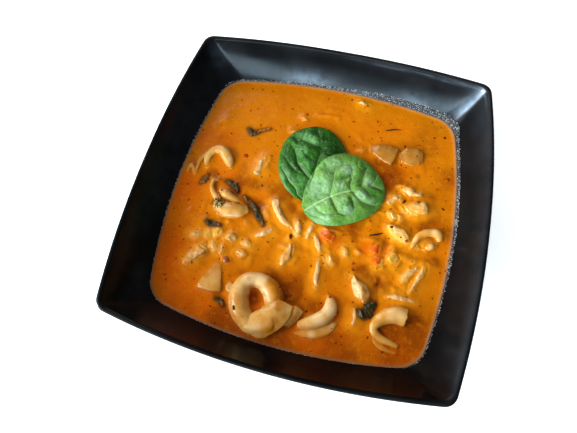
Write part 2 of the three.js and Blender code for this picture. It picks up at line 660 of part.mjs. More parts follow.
// Joins each piece, cuts it round the pieces already laid, and keeps the room and the bed that it takes
const rooms = [];
const beds = [];
function layPieces(pieces, colour, roughness) {
  Object.entries(pieces).forEach(([name, parts]) => {
    const whole = parts.map(({ body }) => solidOf(body)).reduce((sum, part) => sum.add(part));
    const solid = rooms.reduce((rest, room) => rest.subtract(room), whole);
    rooms.push(...parts.map(({ body }) => solidOf(grown(body, pieceGap))));
    beds.push(...parts.filter(({ bed }) => bed).map(({ bed }) => solidOf(bed)));
    addMesh(name, geometryOf(solid), colour, roughness);
  });
}

layPieces(pasta, colours.pasta, 0.4);
layPieces(chicken, colours.chicken, 0.5);
layPieces(carrot, colours.carrot, 0.4);
const soupWithBits = bits.reduce((sum, { body }) => sum.add(solidOf(body)), solidOf(wholeSoup));
const soup = beds.reduce((rest, bed) => rest.subtract(bed), soupWithBits);
addMesh('soup', geometryOf(soup), colours.soup, 0.25);
rooms.push(...bits.map(({ body }) => solidOf(grown(body, pieceGap))));
layPieces(wilted, colours.wilted, 0.45);
addMesh('leaf_back', thinSolid(backRows, leafThick), colours.leafDark, 0.4);
addMesh('leaf_front', thinSolid(frontRows, leafThick), colours.leafLight, 0.4);

export default group;
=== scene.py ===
import math

import bmesh
import bpy
import numpy as np
from mathutils import Matrix, Vector
from mathutils.bvhtree import BVHTree


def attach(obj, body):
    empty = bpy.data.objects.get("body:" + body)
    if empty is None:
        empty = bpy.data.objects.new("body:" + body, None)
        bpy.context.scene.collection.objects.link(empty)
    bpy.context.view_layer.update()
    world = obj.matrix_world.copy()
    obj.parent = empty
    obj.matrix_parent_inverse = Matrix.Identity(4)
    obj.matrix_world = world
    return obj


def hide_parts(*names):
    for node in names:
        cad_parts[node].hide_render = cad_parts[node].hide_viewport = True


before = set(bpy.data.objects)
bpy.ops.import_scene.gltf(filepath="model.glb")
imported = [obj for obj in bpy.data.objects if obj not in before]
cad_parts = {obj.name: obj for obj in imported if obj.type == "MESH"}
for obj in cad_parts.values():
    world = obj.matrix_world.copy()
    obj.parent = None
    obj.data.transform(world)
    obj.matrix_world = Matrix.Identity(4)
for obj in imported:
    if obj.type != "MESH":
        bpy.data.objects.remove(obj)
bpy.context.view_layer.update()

# A bowl of tortellini soup. Shapes are in millimetres and become metres when a piece is added.
mm = 0.001


# Small helpers for meshes. A shape is a pair: an array of points and a list of faces.

def joinShapes(shapes):
    points = []
    faces = []
    start = 0
    for shapePoints, shapeFaces in shapes:
        points.append(shapePoints)
        faces.extend([tuple(start + i for i in face) for face in shapeFaces])
        start += len(shapePoints)
    return np.vstack(points), faces


def meshOf(name, shape, scale=1.0):
    points, faces = shape
    mesh = bpy.data.meshes.new(name)
    mesh.from_pydata((points * scale).tolist(), [], faces)
    mesh.polygons.foreach_set("use_smooth", [True] * len(mesh.polygons))
    mesh.update()
    return mesh


def shapeOf(mesh):
    points = np.zeros(len(mesh.vertices) * 3, np.float32)
    mesh.vertices.foreach_get("co", points)
    return points.reshape(-1, 3).astype(float), [tuple(face.vertices) for face in mesh.polygons]


def normalsOf(shape):
    mesh = meshOf("normals", shape)
    normals = np.zeros(len(mesh.vertices) * 3, np.float32)
    mesh.vertex_normals.foreach_get("vector", normals)
    bpy.data.meshes.remove(mesh)
    return normals.reshape(-1, 3).astype(float)


def fuse(shape, voxel, smoothing):
    mesh = meshOf("fusing", shape)
    lump = bpy.data.objects.new("fusing", mesh)
    bpy.context.scene.collection.objects.link(lump)
    remesh = lump.modifiers.new("remesh", "REMESH")
    remesh.mode = "VOXEL"
    remesh.voxel_size = voxel
    smooth = lump.modifiers.new("smooth", "SMOOTH")
    smooth.iterations = smoothing
    smooth.factor = 0.5
    ready = lump.evaluated_get(bpy.context.evaluated_depsgraph_get())
    result = bpy.data.meshes.new_from_object(ready)
    fused = shapeOf(result)
    bpy.data.objects.remove(lump)
    bpy.data.meshes.remove(mesh)
    bpy.data.meshes.remove(result)
    return fused


lattice = {"slopes": 1024, "primes": (73856093, 19349663, 83492791), "gain": 1.9}


def unevenness(points, size, seed):
    # smooth random field, about -1 to 1, whose bumps are roughly size apart
    draw = np.random.default_rng(seed)
    slopes = draw.normal(size=(lattice["slopes"], 3))
    slopes /= np.linalg.norm(slopes, axis=1)[:, None]
    place = points / size + draw.uniform(10, 20, 3)
    cell = np.floor(place).astype(np.int64)
    part = place - cell
    eased = part * part * part * (part * (part * 6 - 15) + 10)
    total = np.zeros(len(points))
    for corner in np.ndindex(2, 2, 2):
        mixed = np.bitwise_xor.reduce((cell + corner) * lattice["primes"], axis=1)
        weight = np.prod(np.where(corner, eased, 1 - eased), axis=1)
        total += weight * np.einsum("ij,ij->i", slopes[mixed % lattice["slopes"]], part - corner)
    return total * lattice["gain"]


def noisy(points, total, *noises):
    # a base and noises on top, each as share, size and seed
    for share, size, seed in noises:
        total = total + share * unevenness(points, size, seed)
    return total


def shareOf(values, low, high):
    # 0 at or under low, 1 at or over high
    return np.clip((values - low) / (high - low), 0, 1)


def spotsOn(plan, spots, power):
    # a field for each spot, highest in its middle: x, y, reach, amount
    for x, y, reach, amount in spots:
        apart = (plan[:, 0] - x) ** 2 + (plan[:, 1] - y) ** 2
        yield amount * np.exp(-(apart / reach ** 2) ** power)


def nearSpots(plan, spots, power=1.5):
    found = np.zeros(len(plan))
    for field in spotsOn(plan, spots, power):
        found = np.maximum(found, field)
    return found


def roughen(shape, bumps, seed):
    points, faces = shape
    lift = sum(depth * unevenness(points, size, seed + i) for i, (size, depth) in enumerate(bumps))
    return points + normalsOf(shape) * lift[:, None], faces


def addPiece(name, shape, material, replaced=(), fields=None):
    mesh = meshOf(name, shape, mm)
    for key, values in (fields or {}).items():
        layer = mesh.attributes.new(key, "FLOAT", "POINT")
        layer.data.foreach_set("value", np.asarray(values, np.float32))
    piece = bpy.data.objects.new(name, mesh)
    bpy.context.scene.collection.objects.link(piece)
    piece.data.materials.append(material)
    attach(piece, "root")
    if replaced:
        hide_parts(*replaced)


def treeOf(shapes):
    points, faces = joinShapes(shapes)
    return BVHTree.FromPolygons([Vector(p) for p in points], faces)


# Small helpers for materials

def newMaterial(name, fixed):
    material = bpy.data.materials.new(name)
    material.use_nodes = True
    shader = material.node_tree.nodes["Principled BSDF"]
    for socket, value in fixed.items():
        shader.inputs[socket].default_value = value
    return material, material.node_tree, shader


def addNode(tree, kind, inputs=None, **settings):
    node = tree.nodes.new(kind)
    for key, value in settings.items():
        setattr(node, key, value)
    for socket, value in (inputs or {}).items():
        if isinstance(value, bpy.types.NodeSocket):
            tree.links.new(value, node.inputs[socket])
        else:
            node.inputs[socket].default_value = value
    return node


def placeOn(tree, stretch=(1, 1, 1)):
    where = addNode(tree, "ShaderNodeTexCoord").outputs["Object"]
    return addNode(tree, "ShaderNodeMapping", {"Vector": where, "Scale": stretch}).outputs["Vector"]


def noiseOn(tree, place, size, detail=3.0, roughness=0.5):
    inputs = {"Vector": place, "Scale": 1 / (size * mm), "Detail": detail, "Roughness": roughness}
    return addNode(tree, "ShaderNodeTexNoise", inputs).outputs["Fac"]


def cellsOn(tree, place, size, feature="DISTANCE_TO_EDGE"):
    inputs = {"Vector": place, "Scale": 1 / (size * mm)}
    return addNode(tree, "ShaderNodeTexVoronoi", inputs, feature=feature).outputs["Distance"]


def fade(tree, value, start, end, low=0.0, high=1.0):
    inputs = {"Value": value, "From Min": start, "From Max": end, "To Min": low, "To Max": high}
    node = addNode(tree, "ShaderNodeMapRange", inputs, interpolation_type="SMOOTHSTEP")
    return node.outputs["Result"]


def mixColours(tree, share, first, second):
    # sockets 0, 6 and 7 are a colour mix's factor, first and second colour, and 2 is its colour
    return addNode(tree, "ShaderNodeMix", {0: share, 6: first, 7: second}, data_type="RGBA").outputs[2]


def layered(tree, tone, layers):
    # each layer is a share and the colour that is laid over the tone so far
    for share, colour in layers:
        tone = mixColours(tree, share, tone, colour)
    return tone


def maths(tree, how, first, second):
    return addNode(tree, "ShaderNodeMath", {0: first, 1: second}, operation=how).outputs["Value"]


def times(tree, first, second):
    return maths(tree, "MULTIPLY", first, second)


def fieldOf(tree, name):
    return addNode(tree, "ShaderNodeAttribute", attribute_name=name).outputs["Fac"]


def bumpOf(tree, height, depth, under=None):
    inputs = {"Height": height, "Distance": depth * mm, "Strength": 1.0}
    if under is not None:
        inputs["Normal"] = under
    return addNode(tree, "ShaderNodeBump", inputs).outputs["Normal"]


def connect(tree, shader, colour, roughness, bump=None):
    for socket, value in (("Base Color", colour), ("Roughness", roughness), ("Normal", bump)):
        if value is not None:
            tree.links.new(value, shader.inputs[socket])


# Camera, floor and lights

view = {
    "azimuth": 21.109, "elevation": 69.623, "roll": -6.774, "distance": 220.9,
    "aim": (-6.789, -18.747, 55), "lens": 25.007, "sensor": 36.0, "nearest": 0.01,
}


def setCamera():
    azimuth, elevation, roll = (math.radians(view[key]) for key in ("azimuth", "elevation", "roll"))
    back = Vector((
        math.sin(azimuth) * math.cos(elevation),
        -math.cos(azimuth) * math.cos(elevation),
        math.sin(elevation),
    ))
    level = Vector((math.cos(azimuth), math.sin(azimuth), 0))
    lift = back.cross(level)
    right = level * math.cos(roll) + lift * math.sin(roll)
    up = lift * math.cos(roll) - level * math.sin(roll)
    lensData = bpy.data.cameras.new("soup_camera")
    lensData.lens = view["lens"]
    lensData.sensor_width = view["sensor"]
    lensData.clip_start = view["nearest"]
    camera = bpy.data.objects.new("soup_camera", lensData)
    spot = (Vector(view["aim"]) + back * view["distance"]) * mm
    turn = Matrix((right, up, back)).transposed().to_4x4()
    camera.matrix_world = Matrix.Translation(spot) @ turn
    bpy.context.scene.collection.objects.link(camera)
    bpy.context.scene.camera = camera


# Each light: where it stands seen from the bowl, how far in metres, its size, colour and brightness
studio = {
    "window_left": {
        "from": (-0.82, -0.42, 0.42), "far": 1.6, "size": (1.2, 0.8),
        "colour": (0.82, 0.92, 1.0), "glow": 5.5,
    },
    "strip_left": {
        "from": (-0.86, -0.46, 0.22), "far": 1.6, "size": (0.5, 0.26),
        "colour": (0.74, 0.88, 1.0), "glow": 50.0,
    },
    "crease_left": {
        "from": (-0.88, -0.48, 0.06), "far": 1.6, "size": (0.8, 0.11),
        "colour": (0.78, 0.90, 1.0), "glow": 700.0,
    },
    "window_near": {
        "from": (-0.06, -0.93, 0.33), "far": 1.6, "size": (1.3, 0.24),
        "colour": (0.60, 0.83, 1.0), "glow": 29.0,
    },
    "sky_left": {
        "from": (-0.76, -0.28, 0.62), "far": 1.4, "size": (0.7, 0.5),
        "colour": (1.0, 0.95, 0.87), "glow": 8.0,
    },
    "sky_far": {
        "from": (-0.50, 0.66, 0.60), "far": 1.5, "size": (0.8, 0.5),
        "colour": (1.0, 0.97, 0.92), "glow": 5.5,
    },
    "soft_top": {
        "from": (-0.30, -0.60, 0.75), "far": 1.6, "size": (1.2, 1.0),
        "colour": (1.0, 0.94, 0.86), "glow": 1.6,
    },
}
surroundings = {"colour": (0.9, 0.95, 1.0), "strength": 0.11}
floorLook = {
    "side": 3.0, "glow": 0.62, "roughness": 0.9, "grain": 40,
    "tones": ((0.86, 0.86, 0.86, 1), (0.9, 0.9, 0.9, 1)),
}


def setLights():
    for name, light in studio.items():
        data = bpy.data.lights.new(name, "AREA")
        data.shape = "RECTANGLE"
        data.size, data.size_y = light["size"]
        data.energy = light["glow"] * math.pi * data.size * data.size_y
        data.color = light["colour"]
        lamp = bpy.data.objects.new(name, data)
        heading = Vector(light["from"]).normalized()
        lamp.location = heading * light["far"]
        lamp.rotation_euler = heading.to_track_quat("Z", "Y").to_euler()
        lamp.visible_camera = False
        bpy.context.scene.collection.objects.link(lamp)
    world = bpy.data.worlds.new("room")
    world.use_nodes = True
    backdrop = world.node_tree.nodes["Background"]
    backdrop.inputs["Color"].default_value = (*surroundings["colour"], 1)
    backdrop.inputs["Strength"].default_value = surroundings["strength"]
    bpy.context.scene.world = world
    bpy.context.scene.view_settings.view_transform = "Standard"


def setFloor():
    half = floorLook["side"] / 2
    corners = [(-half, -half, 0), (half, -half, 0), (half, half, 0), (-half, half, 0)]
    mesh = bpy.data.meshes.new("floor")
    mesh.from_pydata(corners, [], [(0, 1, 2, 3)])
    floor = bpy.data.objects.new("floor", mesh)
    fixed = {
        "Roughness": floorLook["roughness"],
        "Emission Color": (1, 1, 1, 1),
        "Emission Strength": floorLook["glow"],
    }
    material, tree, shader = newMaterial("floor_white", fixed)
    grain = noiseOn(tree, placeOn(tree), floorLook["grain"])
    tree.links.new(mixColours(tree, grain, *floorLook["tones"]), shader.inputs["Base Color"])
    floor.data.materials.append(material)
    bpy.context.scene.collection.objects.link(floor)


setCamera()
setFloor()
setLights()
print("camera, floor and lights are in place")


# The bowl, with the same plan and the same level sections as the solid, but finer

bowlForm = {
    "rimHeight": 55,
    "cornerLift": 2.6,
    "liftPower": 1.56,
    "risePower": 1.5,
    "liftReach": 0.93,
    "soupLevel": 32.8,
    "octantSteps": 40,
    "cornerCrowding": 1.7,
    "between": 4,
    # each section: height, half width, bulge of its sides, corner radius, shift in x and y
    "outside": [
        (2.4, 26, 6, 14, 0, 0), (2.4, 52, 9.4, 20, 0, 0), (0, 53.5, 9.4, 21, 0, 0), (0, 60, 9.4, 24, 0, 0),
        (3.2, 61.5, 9.6, 24, 0, 0), (9.5, 74, 10.2, 23, 0, 0), (20, 84, 10.8, 20.5, 0, 0),
        (32, 90.4, 11.2, 17.5, 0, 0), (43, 95.8, 10.8, 12.5, 0, 0), (50.5, 99.2, 10.3, 8.8, 0, 0),
        (53.7, 100, 10.1, 7.6, 0, 0), (54.7, 99.6, 10.1, 7.4, 0, 0), (55, 98.6, 10.1, 7.1, 0, 0),
    ],
    "inside": [
        (54.4, 97.5, 10.1, 7.6, 0, 0), (53, 96.9, 10.1, 8, 0, 0), (48.5, 95, 10.4, 9.6, 0.2, -0.1),
        (41.5, 91.3, 10.8, 12.6, 0.6, -0.3), (32.8, 85.8, 11.2, 17, 1.2, -0.5),
        (26, 79.4, 11, 20, 1.2, -0.5), (18.5, 70.2, 10.4, 23, 1.2, -0.5), (12, 58, 9.6, 23, 1.2, -0.5),
        (8.4, 44, 8.4, 20, 1.2, -0.5), (7, 24, 5, 12, 1.2, -0.5),
    ],
    "underMiddle": (0, 0, 2.4),
    "floorMiddle": (1.2, -0.5, 6.6),
    "surfaceAt": 4,   # which inner section lies at the soup's level
}
soupLevel = bowlForm["soupLevel"]
surfaceSection = bowlForm["inside"][bowlForm["surfaceAt"]]
soupMiddle = np.array(surfaceSection[4:])


def planRadius(theta, half, bulge, corner):
    sideRadius = (half * half + bulge * bulge) / (2 * bulge)
    back = sideRadius - half
    reach = sideRadius - corner
    centre = (-back + math.sqrt(2 * reach * reach - back * back)) / 2
    meet = math.atan2(sideRadius * centre / reach, -back + sideRadius * (centre + back) / reach)
    quarter = math.pi / 2
    s = np.abs(np.mod(theta + quarter / 2, quarter) - quarter / 2)
    onSide = -back * np.cos(s) + np.sqrt(sideRadius ** 2 - (back * np.sin(s)) ** 2)
    across = centre * (np.cos(s) - np.sin(s))
    onCorner = centre * (np.cos(s) + np.sin(s)) + np.sqrt(np.maximum(corner * corner - across * across, 0))
    return np.where(s < meet, onSide, onCorner)


def planLoop(section, theta):
    z, half, bulge, corner, shiftX, shiftY = section
    lifted = max(0, (z - soupLevel) / (bowlForm["rimHeight"] - soupLevel)) ** bowlForm["risePower"]
    r = planRadius(theta, half, bulge, corner)
    x = r * np.cos(theta)
    y = r * np.sin(theta)
    along = np.minimum(1, np.minimum(np.abs(x), np.abs(y)) / (half * bowlForm["liftReach"]))
    rise = bowlForm["cornerLift"] * lifted * along ** bowlForm["liftPower"]
    return np.column_stack([x + shiftX, y + shiftY, z + rise])


def sectionsBetween(sections, between):
    # smooth steps from one section to the next that never overshoot them
    table = np.asarray(sections, float)
    steps = np.diff(table, axis=0)
    slopes = np.zeros_like(table)
    for i in range(1, len(table) - 1):
        before, after = steps[i - 1], steps[i]
        same = before * after > 0
        total = np.where(same, before + after, 1)
        slopes[i] = np.where(same, 2 * before * after / total, 0)
    slopes[0] = steps[0]
    slopes[-1] = steps[-1]
    rows = []
    for i in range(len(steps)):
        for step in range(between):
            rows.append(hermite(table[i], table[i + 1], slopes[i], slopes[i + 1], step / between))
    rows.append(table[-1])
    return rows


def hermite(start, end, slopeStart, slopeEnd, t):
    t2 = t * t
    t3 = t2 * t
    return ((2 * t3 - 3 * t2 + 1) * start + (t3 - 2 * t2 + t) * slopeStart
            + (3 * t2 - 2 * t3) * end + (t3 - t2) * slopeEnd)


def loftLoops(loops, firstPoint, lastPoint):
    count = len(loops[0])
    points = np.vstack([[firstPoint], *loops, [lastPoint]])
    faces = []
    last = len(points) - 1
    top = 1 + (len(loops) - 1) * count
    for j in range(count):
        k = (j + 1) % count
        faces.append((0, 1 + k, 1 + j))
        faces.append((last, top + j, top + k))
        for i in range(len(loops) - 1):
            a = 1 + i * count + j
            b = 1 + i * count + k
            faces.append((a, b, b + count, a + count))
    return points, faces


def bowlShape():
    steps = bowlForm["octantSteps"]
    eased = [math.pi / 4 * (1 - (1 - i / steps) ** bowlForm["cornerCrowding"]) for i in range(steps + 1)]
    quarter = eased + [math.pi / 2 - a for a in eased[-2:0:-1]]
    theta = np.array([side * math.pi / 2 + a for side in range(4) for a in quarter])
    sections = sectionsBetween(bowlForm["outside"] + bowlForm["inside"], bowlForm["between"])
    loops = [planLoop(section, theta) for section in sections]
    return loftLoops(loops, bowlForm["underMiddle"], bowlForm["floorMiddle"])


# Sizes of its patterns are in millimetres
glazeFinish = {
    "black": (0.0045, 0.0046, 0.0050, 1),
    "worn": (0.0080, 0.0082, 0.0086, 1),
    "roughness": (0.10, 0.20),
    "specular": 0.075,
    "patch": 26,
    "grain": 0.55,
    "grainDepth": 0.012,
    "reflectionPatches": 7,
    "streaks": 2.5,
    "painted_reflection": (0.15, 0.20, 0.245, 1),
    # painted reflections of the lamps on the walls and a painted highlight line under the far rim, as a pale
    # bluish tone: x, y, z, reach along the wall, reach up the wall, how much
    "reflectionSpots": [
        (-22, 88, 36.5, 15, 4.2, 0.75), (-54, 86, 37, 8, 3, 0.1), (52, 86, 37, 14, 4, 0.44),
        (72, 83, 39, 8, 4, 0.14), (24, 95, 52.8, 20, 0.45, 0.14), (56, 92, 53.8, 18, 0.45, 0.2),
        (80, 90, 55, 12, 0.5, 0.22), (-84, -70, 40, 10, 7, 0.1), (-94, 0, 45, 80, 12, 0.04),
        (-84, 86, 46, 9, 8, 0.12),
    ],
    # the far right crease carries a painted highlight, mostly towards the far wall: past x and y it starts,
    # its reach low and high on the wall and the heights between which it narrows, and the heights where it
    # comes and fades
    "crease": {
        "corner": 60, "offset": 0.8, "reach": (3.6, 3.0), "narrows": (38, 50), "falloff": 1.3, "past": 0.9,
        "rise": (36.5, 42), "top": (44, 50), "fall": 0.72, "tone": (0.28, 0.36, 0.44, 1),
    },
}


def insideOf(points):
    loops = (len(bowlForm["outside"]) + len(bowlForm["inside"]) - 1) * bowlForm["between"] + 1
    perLoop = (len(points) - 2) // loops
    return np.arange(len(points)) > len(bowlForm["outside"]) * bowlForm["between"] * perLoop


# where the painted highlight lies along the far right crease
def creaseHighlightOn(points):
    crease = glazeFinish["crease"]
    x, y, z = points.T
    across = (y - x + crease["offset"]) / math.sqrt(2)
    upper = shareOf(z, *crease["narrows"])
    reach = crease["reach"][0] * (1 - upper) + crease["reach"][1] * upper
    farSide = np.exp(-(np.maximum(across, 0) / reach) ** crease["falloff"])
    rightSide = np.exp(-(np.minimum(across, 0) / crease["past"]) ** 2)
    raised = shareOf(z, *crease["rise"]) * (1 - crease["fall"] * shareOf(z, *crease["top"]))
    corner = insideOf(points) & (x > crease["corner"]) & (y > crease["corner"])
    return np.where(corner, farSide * rightSide * raised, 0)


# painted reflections on the inner walls, from the spots
def paintedReflectionOn(points):
    found = np.zeros(len(points))
    for x, y, z, along, up, amount in glazeFinish["reflectionSpots"]:
        level = (points[:, 0] - x) ** 2 + (points[:, 1] - y) ** 2
        apart = level / along ** 2 + (points[:, 2] - z) ** 2 / up ** 2
        found = np.maximum(found, amount * np.exp(-apart))
    return np.where(insideOf(points), found, 0)


def glazeMaterial():
    look = glazeFinish
    material, tree, shader = newMaterial("black_glaze", {"IOR": 1.5, "Specular IOR Level": look["specular"]})
    place = placeOn(tree)
    upright = placeOn(tree, (1, 1, 0.3))   # draws a pattern out up the wall
    patches = noiseOn(tree, place, look["patch"], 5, 0.6)
    grain = noiseOn(tree, place, look["grain"], 2)
    reflectionPatches = fade(tree, noiseOn(tree, place, look["reflectionPatches"], 4, 0.6), 0.3, 0.65, 0.35, 1)
    streaks = fade(tree, noiseOn(tree, upright, look["streaks"], 3, 0.6), 0.3, 0.65, 0.7, 1)
    tone = layered(tree, look["black"], [
        (fade(tree, patches, 0.35, 0.7), look["worn"]),
        # painted reflections, broken into patches
        (times(tree, fieldOf(tree, "painted_reflection"), reflectionPatches), look["painted_reflection"]),
        # painted highlight along the far right crease, broken into streaks
        (times(tree, fieldOf(tree, "crease"), streaks), look["crease"]["tone"]),
    ])
    mixed = maths(tree, "ADD", times(tree, patches, 0.7), times(tree, grain, 0.3))
    roughness = fade(tree, mixed, 0.3, 0.7, *look["roughness"])
    connect(tree, shader, tone, roughness, bumpOf(tree, grain, look["grainDepth"]))
    return material


bowl = bowlShape()
# the painted reflections and the painted crease highlight, as fields on the bowl
bowlFields = {"painted_reflection": paintedReflectionOn(bowl[0]), "crease": creaseHighlightOn(bowl[0])}
addPiece("bowl_glazed", bowl, glazeMaterial(), ["bowl"], bowlFields)
print("the bowl is glazed")


# Soft bodies along smooth paths. Keys are x, y, height over the soup and half width, as in the solids.

def smoothPath(spots, count):
    spots = np.asarray(spots, float)
    spots = np.vstack([2 * spots[0] - spots[1], spots, 2 * spots[-1] - spots[-2]])
    segments = len(spots) - 3
    path = []
    for t in np.linspace(0, segments, count):
        i = min(int(t), segments - 1)
        a, b, c, d = spots[i:i + 4]
        ab, bc, cd = (math.sqrt(np.linalg.norm(q - p)) for p, q in ((a, b), (b, c), (c, d)))
        leave = ((b - a) / ab - (c - a) / (ab + bc) + (c - b) / bc) * bc
        arrive = ((c - b) / bc - (d - b) / (bc + cd) + (d - c) / cd) * bc
        path.append(hermite(b, c, leave, arrive, t - i))
    return np.array(path)


def smoothWidths(widths, count):
    widths = np.asarray([widths[0], *widths, widths[-1]], float)
    segments = len(widths) - 3
    result = []
    for t in np.linspace(0, segments, count):
        i = min(int(t), segments - 1)
        a, b, c, d = widths[i:i + 4]
        result.append(hermite(b, c, (c - a) / 2, (d - b) / 2, t - i))
    return np.array(result)


def unit(vectors):
    return vectors / np.linalg.norm(vectors, axis=-1, keepdims=True)


# Bodies: points round and along them, rows in each cap and the share of the width left at its end,
# how many grooves of the grain and how they drift, and the lengths of the waves of a sheet's edge
bodyForm = {
    "sides": 40, "spacing": 0.5, "capRows": 7, "capEnd": 0.02,
    "grooves": (8, 18), "drift": 0.5, "waves": (2.5, 5),
}
fullTurn = 6.3   # random phases are drawn up to this


def softBody(keys, tall=0.8, square=2.0, blunt=0.5, roll=0.0, fibre=0.0, ruffle=0.0, seed=1):
    spots = [(x, y, soupLevel + lift) for x, y, lift, half in keys]
    length = sum(math.dist(p, q) for p, q in zip(spots, spots[1:]))
    count = max(16, round(length / bodyForm["spacing"]))
    middle = smoothPath(spots, count)
    half = smoothWidths([key[3] for key in keys], count)
    along = unit(np.gradient(middle, axis=0))
    level = unit(np.cross([0, 0, 1], along))
    side = level * math.cos(roll) + np.cross(along, level) * math.sin(roll)
    up = np.cross(along, side)
    angle = np.arange(bodyForm["sides"]) * 2 * math.pi / bodyForm["sides"]
    wide = np.sign(np.cos(angle)) * np.abs(np.cos(angle)) ** (2 / square)
    high = np.sign(np.sin(angle)) * np.abs(np.sin(angle)) ** (2 / square) * tall
    draw = np.random.default_rng(seed)
    loops = []
    capRows = bodyForm["capRows"]
    rows = [(0, 1 - k / capRows, -1) for k in range(capRows)]
    rows += [(i, 0, 0) for i in range(count)]
    rows += [(count - 1, (k + 1) / capRows, 1) for k in range(capRows)]
    drift = bodyForm["drift"]
    ridges = []
    for k in range(4):
        grooves = draw.integers(*bodyForm["grooves"])
        ridges.append((grooves, draw.uniform(0, fullTurn), draw.uniform(-drift, drift)))
    waves = [(draw.uniform(*bodyForm["waves"]), draw.uniform(0, fullTurn)) for k in range(3)]
    for i, cap, end in rows:
        turned = cap * math.pi / 2
        shrink = math.cos(turned) * half[i] if cap < 1 else half[i] * bodyForm["capEnd"]
        centre = middle[i] + along[i] * end * half[i] * blunt * math.sin(turned)
        travelled = i * bodyForm["spacing"]
        grooves = sum(np.sin(n * angle + phase + twist * travelled) for n, phase, twist in ridges) / 2
        swell = 1 + fibre * grooves
        edge = sum(math.sin(travelled * 2 * math.pi / size + phase) for size, phase in waves) / 3
        lift = ruffle * edge * np.sign(np.cos(angle)) * np.abs(np.cos(angle)) ** 2
        wideNow = (wide * shrink * swell)[:, None]
        highNow = (high * shrink * swell + lift)[:, None]
        loops.append(centre + side[i] * wideNow + up[i] * highNow)
    return loftLoops(loops, loops[0].mean(axis=0), loops[-1].mean(axis=0))


def tornFaces(shape, look, seed):
    # flattened faces, as on meat torn along its grain, which is its longest direction
    points, faces = shape
    draw = np.random.default_rng(seed)
    middle = points.mean(axis=0)
    offset = points - middle
    grain = np.linalg.svd(offset, full_matrices=False)[2][0]
    for _ in range(look["tornFaces"]):
        turn = draw.uniform(0, 2 * math.pi)
        rise = draw.uniform(0, look["steepest"])
        level = math.sqrt(1 - rise * rise)
        heading = np.array([level * math.cos(turn), level * math.sin(turn), rise])
        heading = unit(heading - look["alongGrain"] * (heading @ grain) * grain)
        reach = offset @ heading
        limit = draw.uniform(*look["tornDepth"]) * reach.max()
        offset = offset - np.outer(look["flattened"] * np.maximum(0, reach - limit), heading)
    return middle + offset, faces


def thinSheet(net, thick):
    # a closed sheet between a net of points and the same net one thickness lower
    rows, columns = net.shape[:2]
    upper = net.reshape(-1, 3)
    lower = upper - np.array([0, 0, thick])
    index = np.arange(rows * columns).reshape(rows, columns)
    a, b, c, d = index[:-1, :-1], index[:-1, 1:], index[1:, 1:], index[1:, :-1]
    top = np.stack([a, d, c, b], axis=-1).reshape(-1, 4)
    bottom = np.stack([a, b, c, d], axis=-1).reshape(-1, 4) + len(upper)
    rim = [*index[0, :-1], *index[:-1, -1], *index[-1, :0:-1], *index[:0:-1, 0]]
    shifted = [*rim[1:], rim[0]]
    walls = [(p, q, q + len(upper), p + len(upper)) for p, q in zip(rim, shifted)]
    return np.vstack([upper, lower]), [tuple(face) for face in np.vstack([top, bottom, walls]).tolist()]


flapForm = {"along": 44, "across": 26, "thick": 0.9}


def doughFlap(curves):
    # a flap of dough through several edges, each a list of x, y and height over the soup
    edges = []
    for curve in curves:
        edges.append(smoothPath([(x, y, soupLevel + lift) for x, y, lift in curve], flapForm["along"]))
    net = np.array([smoothPath(row, flapForm["across"]) for row in zip(*edges)])
    return thinSheet(net, flapForm["thick"])


# Where soup clings to the food, and where light is painted on it as a paler tone, on tops and lit edges: x,
# y, reach, how strongly
sauceSpots = [
    (-7.4, -53.4, 4, 1), (-4, -57.4, 4.6, 1), (-1.8, -61.6, 4.4, 1), (-66, 22.4, 3, 0.6), (-58, 18, 3, 0.5),
    (-18.3, -63.9, 2, 0.9), (-16.5, -68.5, 2, 0.8), (-18.7, -58.9, 1.8, 0.7), (-0.7, -66.4, 2.2, 0.8),
    (-0.3, -73.2, 2.4, 0.8), (-1, -78.7, 3, 0.9), (3.5, -70, 2.2, 0.6), (-19.2, -77.9, 1.6, 0.4),
    (-26.4, -62, 1.3, 0.4), (10.1, -70.1, 3, 0.6), (70.7, -8.9, 5, 0.9), (65.7, -14.7, 2, 0.5),
    (59.2, -57.8, 2, 0.3), (68.2, -58.7, 1.8, 0.6), (53, -67.3, 1.6, 0.5), (61.9, -72, 2, 0.5),
    (-64.1, 17.9, 2.2, 0.5), (-75.7, 21.2, 2, 0.5), (-76.4, 5.1, 3, 0.6), (-47.2, -6.8, 2.5, 0.5),
    (-49.9, -16.6, 2, 0.5), (33, 49, 3, 0.7), (46, 41, 3, 0.7), (60, 44, 3, 0.5), (22, -72, 4, 0.4),
    (-3, -65.5, 2.2, 0.6), (-6.4, -51.2, 2.6, 0.8), (-47.6, -58, 3, 0.9), (-44.6, -51, 2.4, 0.6),
    (-4, -35.4, 4.6, 0.45), (60.4, 9, 4, 0.8), (62.6, 16, 2.4, 0.5), (-52, -19.6, 3, 0.8),
    (-43, -20, 3, 0.6), (56.4, -8.6, 2.6, 0.7), (62, -11, 2.6, 0.6), (-60.6, -51.6, 2.2, 0.4),
    (26.6, -56, 2.6, 0.4), (14, -72.6, 3, 0.5),
]
